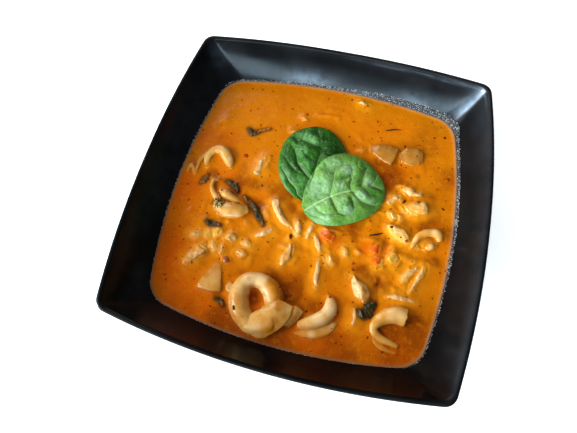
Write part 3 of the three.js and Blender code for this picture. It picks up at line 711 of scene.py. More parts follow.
highlightSpots = [
    (-21, -55.1, 2, 0.8), (-16.5, -55.4, 1.8, 1), (-12.7, -59.2, 1.6, 1), (-9.9, -62.8, 1.4, 0.9),
    (-11, -81.3, 4, 0.4), (4.7, -65.5, 1.4, 0.5), (66, 12.9, 2.5, 0.2), (68.4, 14.9, 2, 0.3),
    (50.2, 15.9, 1.6, 0.8), (58.4, 21, 2, 0.7), (55, -7.2, 2.4, 0.7), (75.9, -0.8, 1.8, 0.8),
    (66.6, -7.7, 1.6, 0.7), (75.7, -9.7, 1.5, 0.9), (39.1, -42.9, 2.6, 1), (36, -40.3, 1.8, 1),
    (63.9, -53.4, 3, 0.6), (53.2, -57, 1.5, 0.4), (60.3, -44.1, 1.4, 0.8), (64.7, -30.2, 1.4, 0.8),
    (-65.7, 23.9, 1.8, 0.8), (-55.9, 17.1, 1.4, 0.8), (-41.4, -19.7, 3, 0.7), (-17.2, -7, 1.6, 0.8),
    (-17.6, -57.6, 2.4, 0.7), (-11.4, -63.4, 1.6, 0.7), (-40.6, -56.6, 4, 0.2), (-21, -55.4, 4, 1),
    (-14.6, -52.6, 4, 1), (-25.6, -62, 4, 0.4), (26.6, -59, 5, 1), (21.6, -66.4, 4.4, 1),
    (30.4, -68, 2.4, 0.8), (20, -74.6, 2.4, 0.8), (60, -54, 4, 0.4),
]


# Soup on a body: steps along it, how fast its share falls off beside it, and the usual share
clinging = {"steps": 30, "fall": 3, "usual": 0.15}


def sauceOn(points, bodies):
    # each body's own share of soup on it, blended where two of them meet
    total = np.zeros(len(points))
    weight = np.full(len(points), 1e-6)
    for keys, form in bodies:
        path = smoothPath([(x, y, soupLevel + lift) for x, y, lift, half in keys], clinging["steps"])
        half = smoothWidths([key[3] for key in keys], clinging["steps"])
        gap = np.min(np.linalg.norm(points[:, None] - path[None], axis=2) / half[None], axis=1)
        share = np.exp(-clinging["fall"] * gap)
        total += share * form.get("sauce", clinging["usual"])
        weight += share
    return np.maximum(total / weight, nearSpots(points, sauceSpots))


def fusedPiece(bodies, look, seed, flaps=()):
    shapes = []
    for i, (keys, form) in enumerate(bodies):
        keys = [(x, y, lift + look["raise"], half) for x, y, lift, half in keys]
        settings = {key: form[key] for key in ("tall", "square", "blunt", "roll") if key in form}
        ruffle = look["ruffle"] if form.get("sheet") else 0.0
        body = softBody(keys, fibre=look["fibre"], ruffle=ruffle, seed=seed + i, **settings)
        if "tornFaces" in look:
            body = tornFaces(body, look, seed + i)
        shapes.append(body)
    shapes += [doughFlap(curves) for curves in flaps]
    fused = fuse(joinShapes(shapes), look["voxel"], look["smoothing"])
    done = roughen(fused, look["bumps"], seed)
    # painted highlights from the spots, and the paler tone that crumbs and shreds have all over
    pale = np.maximum(nearSpots(done[0], highlightSpots), look.get("pale", 0.0))
    return done, {"sauce": sauceOn(done[0], bodies), "pale_and_highlight": pale}


# Sections of the bodies: how tall for their width, how square (2 is round), how blunt their ends are
ring = {}
rope = {"tall": 0.9}
small = {"tall": 0.75}
boxy = {"tall": 0.7, "square": 7, "blunt": 0.1}
thin = {"tall": 0.16, "square": 2.6, "blunt": 0.2, "sheet": True}
chunk = {"tall": 0.75, "square": 2.3}

# Looks: size of the voxels, rounds of smoothing, bumps as size and depth, and how far the pieces are raised
pastaLook = {
    "voxel": 0.3, "smoothing": 2, "bumps": [(9, 0.2), (3.2, 0.07)], "fibre": 0, "ruffle": 0.25, "raise": 0,
}
pasta = {
    "tortellino_front": [
        ([(-3.5, -66, 0.5, 5.2), (-5.8, -59.5, 1.5, 5.7), (-11, -54.8, 2, 5), (-17.6, -53.6, 2, 4.5),
          (-22.8, -56.4, 2, 5), (-24.7, -61.5, 1.6, 5.7), (-23.8, -68, 1.5, 5.9), (-20.3, -74, 1.5, 5.6),
          (-14.5, -78.2, 1.5, 5)], rope),
        ([(-20.9, -77.6, 2, 2.5), (-14.6, -78.4, 2.7, 5), (-8.6, -75.6, 3.2, 6.6), (-4, -72.8, 3.4, 7),
          (-1, -71.6, 2.8, 5.6)], {"tall": 0.66}),
        ([(-28, -61.5, 1.4, 3.4), (-31.2, -61, 1.7, 2.9), (-32.2, -58.6, 2, 0.9)], thin),
    ],
    "tortellino_crescent": [
        ([(24, -51.8, 0.2, 1), (25.8, -54.2, 0.8, 2.7), (26.9, -57.8, 1, 3.8), (26.2, -62, 1.5, 4.2),
          (22.2, -66.5, 1.5, 4.1), (16.8, -69.7, 1.2, 3.6), (12.2, -71.6, 0.8, 2.4)], ring),
        ([(11, -76.4, 0, 1), (15.6, -75.4, 0.3, 2.2), (22, -73.6, 0.3, 3.2), (27.6, -70.2, 0.3, 3),
          (31.2, -66, 0.2, 1.9), (32.6, -63.2, 0, 0.8)], {"tall": 0.45}),
    ],
    "tortellino_open": [
        ([(68.2, -53.6, 2, 5), (63.2, -53.3, 2, 4.9), (58.1, -55.2, 1.8, 4.3), (54.1, -58.4, 1.5, 3.4),
          (52, -62.3, 1, 2.5), (53, -65.2, 1, 2.2), (56.6, -67.3, 0.8, 2), (61.3, -68.4, 0.5, 1.9),
          (66.4, -69.4, 0, 1.4)], {"blunt": -0.35}),
        ([(50.6, -66, -0.2, 1), (54.6, -70, 0.1, 1.6), (60.4, -72.6, 0.1, 1.7), (66, -73, 0, 0.9)],
         {"tall": 0.5}),
    ],
    "tortellino_arch": [
        ([(65.2, -14.5, -0.8, 1.3), (65.9, -9.9, 0.6, 1.7), (67.9, -5.1, 1.3, 2), (71, -2.6, 1.6, 2.1),
          (74.8, -1.2, 1.6, 2.3), (78.5, -1.4, 1.3, 2.8), (80.2, -4.2, 0, 2)], rope),
        ([(67.4, -12.4, -1.6, 2), (71.4, -8.8, -1.2, 4.6), (75.6, -6.6, -1.2, 4.4), (78.6, -5, -1.8, 2)],
         {"tall": 0.5, "sauce": 0.9}),
        ([(73.6, -11.6, -0.4, 1.6), (75.4, -9.6, 0.7, 2.2), (77, -7.8, 0.3, 1.6)], small),
    ],
    "tortellino_loop": [
        ([(-69.5, 9, -1.5, 1.8), (-70.8, 14, 0.6, 2.1), (-70.2, 18.6, 1.6, 2.3), (-67.2, 22, 2, 2.7),
          (-63, 22.2, 2, 3.3), (-58.6, 19, 1.5, 3.6), (-56, 15.2, 0.6, 3), (-54.4, 12, -1.2, 1.7)], ring),
        ([(-72.4, 19, 0.8, 1.2), (-75, 13, 0.8, 1.2), (-75.3, 7.4, 0.5, 1.2), (-75.4, 3, 0, 1.2),
          (-77.4, 6.4, 0.5, 1.3), (-79.6, 8.4, 0.8, 1.3), (-80.8, 5.6, 0.4, 1.3), (-80.3, 2, -0.6, 1)],
         {**rope, "sauce": 0.5}),
    ],
    "tortellino_hook": [
        ([(-58.8, 2.6, 0, 0.8), (-61.6, 1, 1, 1.4), (-61.4, -3.8, 1.1, 1.6), (-58.6, -7.8, 1, 1.9),
          (-55, -11, 0.6, 2.2)], {"tall": 1}),
        ([(-55.4, -4.6, 0.2, 1.8), (-51.6, -6.2, 0.8, 3), (-48, -7.6, 0.9, 2.3), (-44.2, -8.5, 0.6, 2),
          (-40.2, -9, 0, 1)], rope),
        ([(-55.4, -15, 0.1, 3), (-50.6, -16.2, 0.9, 4.7), (-45, -16, 1.2, 5.1), (-40, -14.8, 1, 4.4),
          (-36, -13, 0.2, 2.8)], {"tall": 0.7}),
        ([(-56, -5.4, -1.6, 2.4), (-53.4, -10, -1.6, 4), (-50.6, -14.4, -1.4, 3.4)],
         {"tall": 0.45, "sauce": 0.8}),
    ],
    "pasta_flap_left": [
        ([(-42.4, -49.6, 0.1, 2.6), (-42.6, -55.4, 0.4, 4.6), (-43.2, -61, 0.6, 6.8), (-43, -65, 0.8, 7.2)],
         {**thin, "tall": 0.24, "roll": 0.05}),
    ],
    "pasta_flap_back": [
        ([(29.6, 47.2, 0.2, 2.2), (34.5, 46.6, 0.5, 4.9), (40.5, 45.2, 0.7, 6.6), (45.4, 44, 0.8, 6.6)],
         {**thin, "tall": 0.26, "roll": -0.06, "sauce": 0.3}),
    ],
    "pasta_flap_corner": [
        ([(49.6, 44.6, 0.3, 3.6), (54, 46, 0.6, 6.2), (59.6, 47, 0.6, 6), (62.6, 47.4, 0.3, 4.4)],
         {**thin, "tall": 0.24, "roll": 0.05, "sauce": 0.2}),
    ],
}

# Flaps of dough: edges from the inner to the outer one, each from its far end to its near end
doughFlaps = {
    "tortellino_front": [
        [
            [(-9.5, -67, 5.4), (-10.5, -72, 6.9), (-11.5, -77.5, 6.8), (-12.5, -83.2, 3.2)],
            [(-2, -61.8, 5.6), (-2.6, -68, 7.7), (-4, -74.5, 7.5), (-6.6, -79.8, 5.6), (-8.6, -84.2, 2.8)],
            [(6.9, -63.2, 5.0), (6.6, -68.3, 5.6), (5, -73, 5.3), (0.8, -78.8, 4.4), (-4.5, -83.4, 2.4)],
        ],
        [
            [(5, -63.2, 4.2), (5, -68, 4.7), (3.2, -74.6, 4.3)],
            [(8.6, -62.4, 3.9), (9, -67, 4.2), (6, -74, 3.4)],
            [(13, -64.2, 2.3), (11, -69.2, 2.2), (6.8, -75, 1.7)],
        ],
    ],
}

chickenLook = {
    "voxel": 0.3, "smoothing": 1, "bumps": [(4.2, 0.6), (1.9, 0.18), (0.9, 0.05)], "fibre": 0.04, "ruffle": 0,
    "raise": 0.3, "tornFaces": 10, "tornDepth": (0.74, 0.96), "alongGrain": 0.6, "steepest": 0.8,
    "flattened": 0.93,
}
crumbLook = {
    **chickenLook, "bumps": [(2.2, 0.4), (1.0, 0.14)], "raise": 0.1, "tornDepth": (0.74, 0.94), "pale": 0.6,
}
shredLook = {
    **chickenLook, "bumps": [(3.4, 0.32), (1.4, 0.2), (0.8, 0.08)], "fibre": 0.1, "tornFaces": 7,
    "tornDepth": (0.88, 1.0), "alongGrain": 0.95, "pale": 0.6,
}
chicken = {
    "chicken_slab": [
        ([(35.4, -38, 0.3, 1.4), (38.6, -42.4, 1, 3.4), (42.2, -46, 1.3, 4.3), (44.6, -49.4, 0.4, 2.2)],
         {"tall": 0.75, "square": 2.6}),
    ],
    "chicken_chunk_right": [
        ([(59, 11.2, -0.2, 2.4), (63.4, 12, 0.6, 4), (67.4, 12.8, 1.1, 4.3), (70.4, 12.4, 0.5, 2.6)], chunk),
    ],
    "chicken_chunk_back": [
        ([(54.4, 21, -0.2, 1.8), (58, 22.6, 0.5, 2.6), (61.8, 20.8, 0.4, 2.3), (66.6, 22.4, 0, 1.6)], chunk),
    ],
    "chicken_bar": [([(47.2, 11.4, 0, 1.4), (49.8, 15.4, 0.5, 2), (52.8, 17.6, 0, 1.6)], boxy)],
    "chicken_dome": [
        ([(51, -2.6, 0, 2.2), (55.4, -5.2, 0.4, 3.4), (59.9, -7.3, 0.4, 3.5), (62.6, -10.6, -0.2, 2)], chunk),
    ],
    "chicken_lump_left": [
        ([(-61.4, -53.8, 0, 1.6), (-59.2, -49.2, 0.4, 2.9), (-55.6, -46, 0.6, 3.7), (-52.8, -42, 0.5, 3)],
         {"tall": 0.6, "square": 2.3}),
    ],
    "chicken_lump_middle": [
        ([(-3, -28.4, -0.2, 2), (-3.6, -33, 0.1, 2.6), (-5, -37.4, 0.1, 2.8), (-6.4, -40.6, -0.2, 1.7)],
         chunk),
    ],
    "chicken_bit_left": [([(-63.4, -36.8, 0, 1.4), (-60.8, -35.6, 0.3, 2.5), (-57.9, -34.4, 0, 1.8)], small)],
    "chicken_bit_inner": [([(-43, -33, 0, 1.8), (-40.2, -32.4, 0.8, 3), (-37.4, -32, 0, 2)], small)],
    "shred_back": [([(-34.6, 24.4, 0, 1.1), (-36.2, 18.4, 0.4, 1.9), (-36.8, 12, 0.3, 2)], small)],
    "shred_long": [
        ([(-20, -3.4, 0, 2.4), (-17.3, -9, 0.6, 2.1), (-13.5, -13.5, 0.7, 2), (-6, -18, 0, 1)], small),
    ],
    "shred_side": [([(-25.4, -28, 0, 1.2), (-21, -25.2, 0.4, 1.6), (-17.4, -22, 0, 1.2)], small)],
    "shred_nub": [([(-3.6, -13.4, 0, 1.6), (-2.2, -17, 0.4, 2.1), (-1.8, -21.4, 0, 1.2)], small)],
    "shred_middle": [([(5.6, -11.8, 0, 1.1), (5.2, -16.6, 0.5, 1.6), (4.4, -22, 0, 1.1)], small)],
    "shred_thread_a": [([(8.4, -18.4, 0, 1), (11.2, -23.4, 0.5, 1.6), (14, -28.8, 0, 1.2)], small)],
    "shred_thread_b": [
        ([(14.4, -32.4, 0, 1), (14.9, -38, 0.4, 1.5), (15.5, -44.4, 0.4, 1.6), (16.6, -50.4, 0, 1)], small),
    ],
    "strip_front": [
        ([(55.6, -44.6, 0, 0.9), (60.3, -43.6, 0.5, 1.4), (65, -43.4, 0.5, 1.4), (71, -44, 0, 0.9)], small),
    ],
    "strip_short": [([(62.6, -33.6, 0, 1.6), (65.6, -28.9, 0.4, 1.7), (69.6, -24.8, 0, 1.3)], small)],
    "strip_side": [
        ([(67.6, -39.2, 0, 0.8), (70.3, -32.3, 0.3, 1.2), (72.7, -26.7, 0.4, 1.3), (74.3, -21.8, 0, 0.8)],
         small),
    ],
    "strip_left": [([(39.8, -56, 0, 1.1), (41.2, -60, 0.3, 1.4), (41, -64.2, 0, 1.1)], small)],
}

carrotLook = {
    "voxel": 0.25, "smoothing": 0, "bumps": [(3, 0.25), (1.2, 0.06)], "fibre": 0, "ruffle": 0, "raise": -0.2,
}
carrot = {
    "carrot_wedge": [([(11.6, -15.4, 0, 1.8), (15.4, -17.2, 0.6, 3), (19.8, -18.6, 0.2, 2.4)], boxy)],
    "carrot_dice_back": [([(42.4, -18.4, -0.2, 2), (44.8, -19, 0.4, 2.8), (47.4, -19.4, -0.2, 2)], boxy)],
    "carrot_dice_front": [
        ([(44.8, -24.6, -0.2, 1.8), (47.4, -25.4, 0.3, 2.5), (50, -25.8, -0.2, 1.8)], boxy),
    ],
}

# Bits smaller than a berry, which the solid soup carries: crumbs of chicken, pale dice and one of onion
crumbs = [
    ([(48.6, 6, -0.1, 1.6), (50.4, 4.2, 0.2, 2.2), (52.2, 2.6, -0.1, 1.6)], small),
    ([(-32.8, -33.8, 0, 1.2), (-29.8, -34.3, 0.3, 1.8), (-26.8, -34.6, 0, 1.1)], small),
    ([(-33, -40, 0, 1.5), (-30.4, -40.6, 0.2, 2.1), (-28, -40.6, 0, 1.3)], small),
    ([(-50.8, -37.8, 0, 1), (-48.8, -40.4, 0.4, 1.6), (-45.8, -42.6, 0, 1.3)], small),
    ([(-43.4, -37.4, 0, 1), (-43, -40.8, 0.4, 1.4), (-42, -43.8, 0, 1.1)], small),
    ([(17.6, -29, 0, 1), (20.2, -30.2, 0.4, 1.4), (21.6, -34, 0, 1.2)], small),
    ([(26.8, -22, 0, 1.2), (28, -25.2, 0.3, 1.5), (29, -28.2, 0, 1.1)], small),
    ([(15.2, 80.4, -0.1, 1.1), (18, 79.6, 0.3, 1.7), (21.4, 78.2, -0.1, 1.2)], small),
]
paleDice = [
    ([(-56, -31.6, 0, 1.5), (-54.2, -33.4, 0.4, 2.2), (-52.8, -35.4, 0, 1.6)], boxy),
    ([(-50.8, -30.9, 0, 1.8), (-48.6, -31, 0.4, 2.5), (-46.2, -31.2, 0, 1.9)], boxy),
    ([(53.2, -20.2, -0.2, 2), (55, -21.8, 0.2, 2.6), (57.4, -23, -0.2, 2)], boxy),
]
onionDice = [([(-40.6, -46.6, -0.1, 1.5), (-38.6, -46.2, 0.3, 2), (-36.4, -45.8, -0.1, 1.5)], boxy)]

# Colours of what is cooked. Each has a soup-stained tone, which shows near the waterline and in patches:
# stainTop is how high over the soup it reaches, and drip how uneven that line is.
wetFrom = 0.5   # at this height over the soup and lower, a piece is as wet as it gets
foodTones = {
    "boiled_pasta": {
        "light": (0.78, 0.46, 0.13, 1), "dark": (0.68, 0.31, 0.042, 1), "stained": (0.62, 0.205, 0.003, 1),
        "pale_and_highlight": (0.97, 0.70, 0.35, 1), "stainTop": 2.4, "stainShare": 1.0, "patch": 8, "drip": 3,
        "grain": 0.8, "grainDepth": 0.02, "roughness": 0.30, "flesh": 0.2,
    },
    "soaked_pasta": {
        "light": (0.46, 0.205, 0.032, 1), "dark": (0.38, 0.145, 0.013, 1), "stained": (0.50, 0.155, 0.003, 1),
        "pale_and_highlight": (0.76, 0.46, 0.17, 1), "stainTop": 1.8, "stainShare": 0.7, "patch": 5, "drip": 2,
        "grain": 0.8, "grainDepth": 0.02, "roughness": 0.28, "flesh": 0.1,
    },
    "torn_chicken": {
        "light": (0.76, 0.45, 0.15, 1), "dark": (0.70, 0.32, 0.055, 1), "stained": (0.74, 0.25, 0.006, 1),
        "pale_and_highlight": (0.92, 0.59, 0.28, 1), "stainTop": 1.45, "stainShare": 0.9, "patch": 4, "drip": 1.6,
        "grain": 0.7, "grainDepth": 0.08, "roughness": 0.30, "flesh": 0.2,
    },
    "cooked_carrot": {
        "light": (0.74, 0.125, 0.001, 1), "dark": (0.66, 0.09, 0.001, 1), "stained": (0.70, 0.145, 0.001, 1),
        "pale_and_highlight": (0.9, 0.3, 0.02, 1), "stainTop": 1.0, "stainShare": 0.6, "patch": 3, "drip": 1.4,
        "grain": 0.5, "grainDepth": 0.05, "roughness": 0.14, "flesh": 0.0,
    },
    "pale_vegetable": {
        "light": (0.80, 0.46, 0.05, 1), "dark": (0.70, 0.34, 0.02, 1), "stained": (0.72, 0.25, 0.006, 1),
        "pale_and_highlight": (0.9, 0.6, 0.2, 1), "stainTop": 1.8, "stainShare": 0.9, "patch": 3, "drip": 1.4,
        "grain": 0.5, "grainDepth": 0.03, "roughness": 0.26, "flesh": 0.1,
    },
    "purple_onion": {
        "light": (0.30, 0.08, 0.035, 1), "dark": (0.20, 0.045, 0.025, 1), "stained": (0.46, 0.12, 0.006, 1),
        "pale_and_highlight": (0.5, 0.2, 0.1, 1), "stainTop": 2.2, "stainShare": 0.95, "patch": 2.5, "drip": 1.4,
        "grain": 0.5, "grainDepth": 0.03, "roughness": 0.26, "flesh": 0.0,
    },
}


def wetness(tree, place, patches, top, drip, most):
    height = addNode(tree, "ShaderNodeSeparateXYZ", {0: place}).outputs["Z"]
    uneven = times(tree, maths(tree, "SUBTRACT", patches, 0.5), drip * mm)
    level = maths(tree, "ADD", height, uneven)
    return fade(tree, level, (soupLevel + top) * mm, (soupLevel + wetFrom) * mm, 0, most)


def foodMaterial(name):
    tones = foodTones[name]
    fixed = {
        "IOR": 1.4,
        "Subsurface Weight": tones["flesh"],
        "Subsurface Radius": (1.0, 0.5, 0.2),
        "Subsurface Scale": 0.0018,
        "Coat Weight": 0.3,
        "Coat Roughness": 0.1,
    }
    material, tree, shader = newMaterial(name, fixed)
    place = placeOn(tree)
    patches = noiseOn(tree, place, tones["patch"], 4, 0.6)
    grain = noiseOn(tree, place, tones["grain"], 3)
    wet = wetness(tree, place, patches, tones["stainTop"], tones["drip"], 1.0)
    blotch = fade(tree, noiseOn(tree, place, tones["patch"] * 1.7, 3, 0.55), 0.52, 0.7, 0, 0.5)
    cling = times(tree, fieldOf(tree, "sauce"), fade(tree, patches, 0.2, 0.6, 0.75, 1.1))
    stain = maths(tree, "MAXIMUM", maths(tree, "MAXIMUM", wet, blotch), cling)
    tone = layered(tree, tones["light"], [
        (fade(tree, patches, 0.35, 0.68), tones["dark"]),
        # paler tone: painted highlights, and the paler meat of crumbs and shreds
        (fieldOf(tree, "pale_and_highlight"), tones["pale_and_highlight"]),
        (times(tree, stain, tones["stainShare"]), tones["stained"]),
    ])
    roughness = fade(tree, grain, 0.3, 0.7, tones["roughness"] - 0.08, tones["roughness"] + 0.1)
    connect(tree, shader, tone, roughness, bumpOf(tree, grain, tones["grainDepth"]))
    return material


materials = {name: foodMaterial(name) for name in foodTones}
soaked = ("pasta_flap_back", "pasta_flap_corner")
foodShapes = []


def cook(pieces, look, material, seed):
    for i, (node, bodies) in enumerate(pieces.items()):
        lookNow = shredLook if node.startswith(("shred", "strip")) else look
        shape, fields = fusedPiece(bodies, lookNow, seed + 10 * i, doughFlaps.get(node, ()))
        foodShapes.append(shape)
        skin = materials["soaked_pasta" if node in soaked else material]
        addPiece(node + "_cooked", shape, skin, [node], fields)
    print(f"{len(pieces)} pieces of {material} are laid")


def cookBits(name, bodies, look, material, seed):
    shape, fields = fusedPiece(bodies, look, seed)
    foodShapes.append(shape)
    addPiece(name, shape, materials[material], ["soup"], fields)


cook(pasta, pastaLook, "boiled_pasta", seed=100)
cook(chicken, chickenLook, "torn_chicken", seed=300)
cook(carrot, carrotLook, "cooked_carrot", seed=600)
cookBits("chicken_crumbs", crumbs, crumbLook, "torn_chicken", seed=700)
cookBits("pale_dice", paleDice, carrotLook, "pale_vegetable", seed=720)
cookBits("onion_dice", onionDice, carrotLook, "purple_onion", seed=740)
foodTree = treeOf(foodShapes)
meatTree = treeOf(foodShapes[len(pasta):-1])   # all but the pasta and the onion


# Wilted spinach, in crumpled strips with the same keys, then the height of its waves and how many folds

wiltedLook = {
    "seed": 800, "rows": 70, "columns": 14, "thick": 0.45, "clearance": 0.18, "crumple": 0.6,
    "crumpleSize": 2.6, "tuck": 0.9, "ragged": 0.75, "tatterSize": 1.9, "skew": 2.2,
    "stainTop": 2.2, "drip": 3, "stainShare": 0.6,
    # dark, green and the grey of its veins
    "tones": ((0.006, 0.0055, 0.0028, 1), (0.024, 0.026, 0.007, 1), (0.12, 0.12, 0.045, 1)),
    "stained": (0.085, 0.046, 0.008, 1), "froth_and_glint": (0.95, 0.68, 0.22, 1),
    "soaked": (0.38, 0.105, 0.005, 1),
    # where a strip lies under a film of soup: x, y, reach, how strongly
    "soakedSpots": [
        (-42, 43.4, 3.4, 0.9), (-37, 46, 4.4, 1), (-39.6, 44.7, 3, 0.6), (-70, -2.4, 3, 0.7),
        (-66.8, 4, 3, 0.6), (-68.2, 0.6, 3, 0.35), (-39.6, -5, 3, 0.7), (-35.6, -7.6, 3, 0.35),
        (-48.4, -26.6, 2, 0.4), (-32, -72, 2.4, 0.5), (-23.6, -20, 2, 0.4),
    ],
}
wilted = {
    "wilted_hook": ([(-56.8, -12.6, 4.2, 1.6), (-53.4, -13.6, 6.2, 3.2), (-50.4, -14.6, 6.4, 2.2)], 0.5, 2.5),
    "wilted_fold": ([(-54.2, 2.8, 2, 0.8), (-50.6, 2, 2.6, 1.7), (-46.8, 0, 2.6, 1.7), (-44.6, -3.2, 2, 1)],
                    0.5, 2.5),
    "wilted_ribbon": ([(-40.2, -4.8, 1.9, 0.8), (-36.6, -7, 2.2, 1.5), (-31.6, -10.4, 2.4, 2),
                       (-27.6, -14.8, 2.3, 2.1), (-23.4, -20, 1.9, 1.2)], 0.5, 4),
    "wilted_corner": ([(-57.6, -26, 1.9, 1.2), (-54.6, -26.8, 2, 2), (-48.4, -26.6, 1.9, 0.9)], 0.5, 2.5),
    "wilted_far": ([(-51.6, 43, 1.9, 1), (-47.8, 40.6, 2.1, 2.1), (-42.2, 43.4, 1.9, 1), (-37, 46, 1.9, 0.5)],
                   0.5, 2.5),
    "wilted_smear": ([(-69.9, -2.4, 1.9, 0.9), (-68.2, 0.6, 2, 2), (-66.8, 4, 1.9, 1)], 0.5, 2.5),
    "wilted_low": ([(-38, -69.4, 1.9, 0.7), (-35, -69.6, 2, 1.3), (-32, -72, 1.9, 1)], 0.5, 2.5),
    "wilted_right": ([(42.2, -56, 2.4, 1.2), (45.8, -57, 3, 3), (48, -54, 3.4, 3.1), (49.4, -49.6, 2.8, 1.7)],
                     0.8, 3),
}


# The soup: one body from its surface down to the floor of the bowl

soupForm = {
    "cells": 300, "intoWall": 1.2, "intoSides": 0.8, "intoFloor": 0.5, "wallRise": 0.6,
    "wallReach": 0.8, "calmReach": 8, "pieceRise": 0.55, "pieceReach": 1.2, "seen": 9, "murk": 1.4,
    "lumpDepth": 0.35, "lumpEdge": 1.3, "moundRise": 0.5, "moundReach": 3.4, "leastShown": 0.35,
    "shownFrom": 0.5, "rubbleDepth": 0.55, "ragged": 0.6,
    # size, depth and seed
    "waves": ((16, 0.22, 43), (4.5, 0.10, 44)),
}
# Uneven fields over the soup: a base, then share, size and seed of each noise
soupNoise = {
    "rubble": (0, (0.6, 6, 41), (0.4, 3, 42)),
    "shiftX": (0, (1, 2.8, 51)),
    "shiftY": (0, (1, 2.8, 52)),
    "meatEdge": (0.8, (0.6, 3, 53)),
    "gold": (0.8, (0.5, 6, 48)),
    "deep": (0.16, (0.3, 30, 45), (0.25, 12, 46)),
    "ruddy": (0.15, (0.2, 20, 49)),
}
# How much each thing adds to the pale, gold and deep fields, and how far it reaches
soupShares = {
    "veil": 0.75, "lumpEdge": 1.6, "raised": 0.15, "raisedFrom": 0.35, "raisedBy": 0.7, "meatEdge": 0.4,
    "meatReach": 1.1, "goldReach": 5, "goldEdge": 1.4, "crests": 0.3, "hollows": 0.6, "deepest": 1.3,
    "rimReach": 1.8, "partEdge": 1.2, "wilted": 0.8, "wiltedReach": 1.7,
}
# Things that lie just under the surface: x, y, half width, how far they push it up, how pale they show
sunken = [
    (-17.6, 58.8, 3.6, 0.5, 0.5), (-22.7, 48.3, 3, 0.4, 0.4), (-68.9, 45.5, 3, 0.5, 0.5),
    (-30.3, 15.5, 3.2, 0.6, 0.4), (4.7, 64.1, 2.2, 0.4, 0.6), (-0.3, 68.2, 3.6, 0.3, 0.4),
    (22.1, 52, 2.8, 0.5, 0.5), (25.6, 45, 2.6, 0.4, 0.5), (63.7, 40.2, 2.6, 0.3, 0.3),
    (-70, -21.9, 2.4, 0.6, 0.3), (-23.3, -9.7, 3, 0.5, 0.4), (-16.5, -31.5, 2.4, 0.4, 0.4),
    (17.4, -30.8, 2.2, 0.4, 0.5), (21.1, -33.8, 2, 0.4, 0.5), (6.8, -50.1, 2.2, 0.3, 0.3),
    (34.6, -22.5, 2, 0.4, 0.5), (67.8, -20.5, 2.6, 0.5, 0.5), (77.1, -8.7, 2.2, 0.4, 0.3),
    (-33.5, -22.5, 3.6, 0.6, 0.5), (-28, 2, 3.4, 0.5, 0.4), (40, 3, 4, 0.6, 0.5),
]
# Lumps that the soup coats: x, y, half length, half width, turn in degrees, how far they rise, how pale
coatedLumps = [
    (60.3, 9, 6.3, 3.7, 4, 0.9, 0.7), (50.4, 4.1, 2.9, 2.2, -26, 0.7, 0.6),
    (51.3, -3.8, 3.1, 2.7, 14, 1, 0.8), (57.3, -8, 6.3, 3.5, -26, 1.3, 0.9),
    (55.7, -21.2, 4.4, 3.2, -56, 0.9, 0.6), (63.1, -20.3, 4.4, 2.5, -16, 0.8, 0.25),
    (64.7, -30.2, 5.2, 2.1, 49, 1.2, 0.9), (72.3, -28.2, 5.5, 1.2, 69, 0.8, 0.7),
    (27.8, -25.1, 3.5, 1.9, -66, 1, 0.8), (36.2, -23.5, 2.5, 1.8, -6, 0.8, 0.5),
    (48.6, -28.4, 6.6, 3.2, 4, 0.7, 0), (58.4, -38.6, 2.6, 1.6, -6, 0.5, 0.25),
    (72.4, -20.2, 3.7, 2.2, -16, 0.6, 0.1), (55, 3.3, 4.4, 2.9, 14, 0.8, 0.4),
    (40.4, -13.7, 4.4, 1.5, 4, 0.6, 0.3), (-23.7, -13.4, 4.4, 3, -46, 1, 0.5),
    (-60.5, -35.1, 3.2, 2.3, 4, 0.7, 0.5), (-49.3, -32.3, 4.5, 2.8, 4, 0.9, 0.6),
    (-48.2, -39.4, 4.2, 2.3, -46, 0.9, 0.6), (-29.4, -34.7, 3.2, 2.1, -16, 0.8, 0.6),
    (-29.8, -41.3, 2.7, 1.9, 14, 0.7, 0.5), (19.8, -33.5, 3.4, 2.5, -16, 0.8, 0.6),
    (-2.6, -21.3, 3.8, 2.5, -46, 0.9, 0.6), (17.6, -13.8, 5.7, 1.5, 4, 0.7, 0.5),
    (-52.8, -43.6, 5.7, 2.5, 64, 0.9, 0.5), (-8.5, -30, 2.8, 1.7, -16, 0.6, 0.4),
    (-16.6, 58.3, 2.4, 1.5, -26, 0.6, 0.5), (-4.5, 64.3, 6.6, 1.5, 9, 0.5, 0.3),
    (-21.3, 47, 2.9, 1.5, 34, 0.7, 0.6), (23.6, 43, 2.9, 1.8, -6, 0.6, 0.4),
    (-32.1, 20.6, 4.4, 1.3, 74, 0.6, 0.5), (-2.5, -15.2, 2.4, 1.8, -46, 0.8, 0.6),
]
# Carrot that shows red through the soup: x, y, half width, how strongly
redParts = [
    (39.5, -19.8, 4.2, 1), (47.4, -20.1, 4.6, 1), (45.6, -25.2, 3.4, 0.9), (42, -16, 3.2, 0.7),
    (14.6, -18.6, 4, 0.9), (20.4, -20.4, 4.2, 0.9), (16.8, -14.8, 3.2, 0.7), (24, -18, 3, 0.5),
]
# Middles of the crowded parts, where crumbs under the surface make it lumpy: x, y, half width
crowds = [(-50, -36, 20), (-44, -8, 18), (2, -24, 20), (54, -8, 24), (56, 18, 10), (56, -40, 16)]
sunkenCrumbs = {
    "count": 60, "seed": 47, "spread": 0.55,
    "half": (0.8, 2), "stretch": (1, 3), "push": (0.2, 0.6), "pale": (0, 0.3),
}
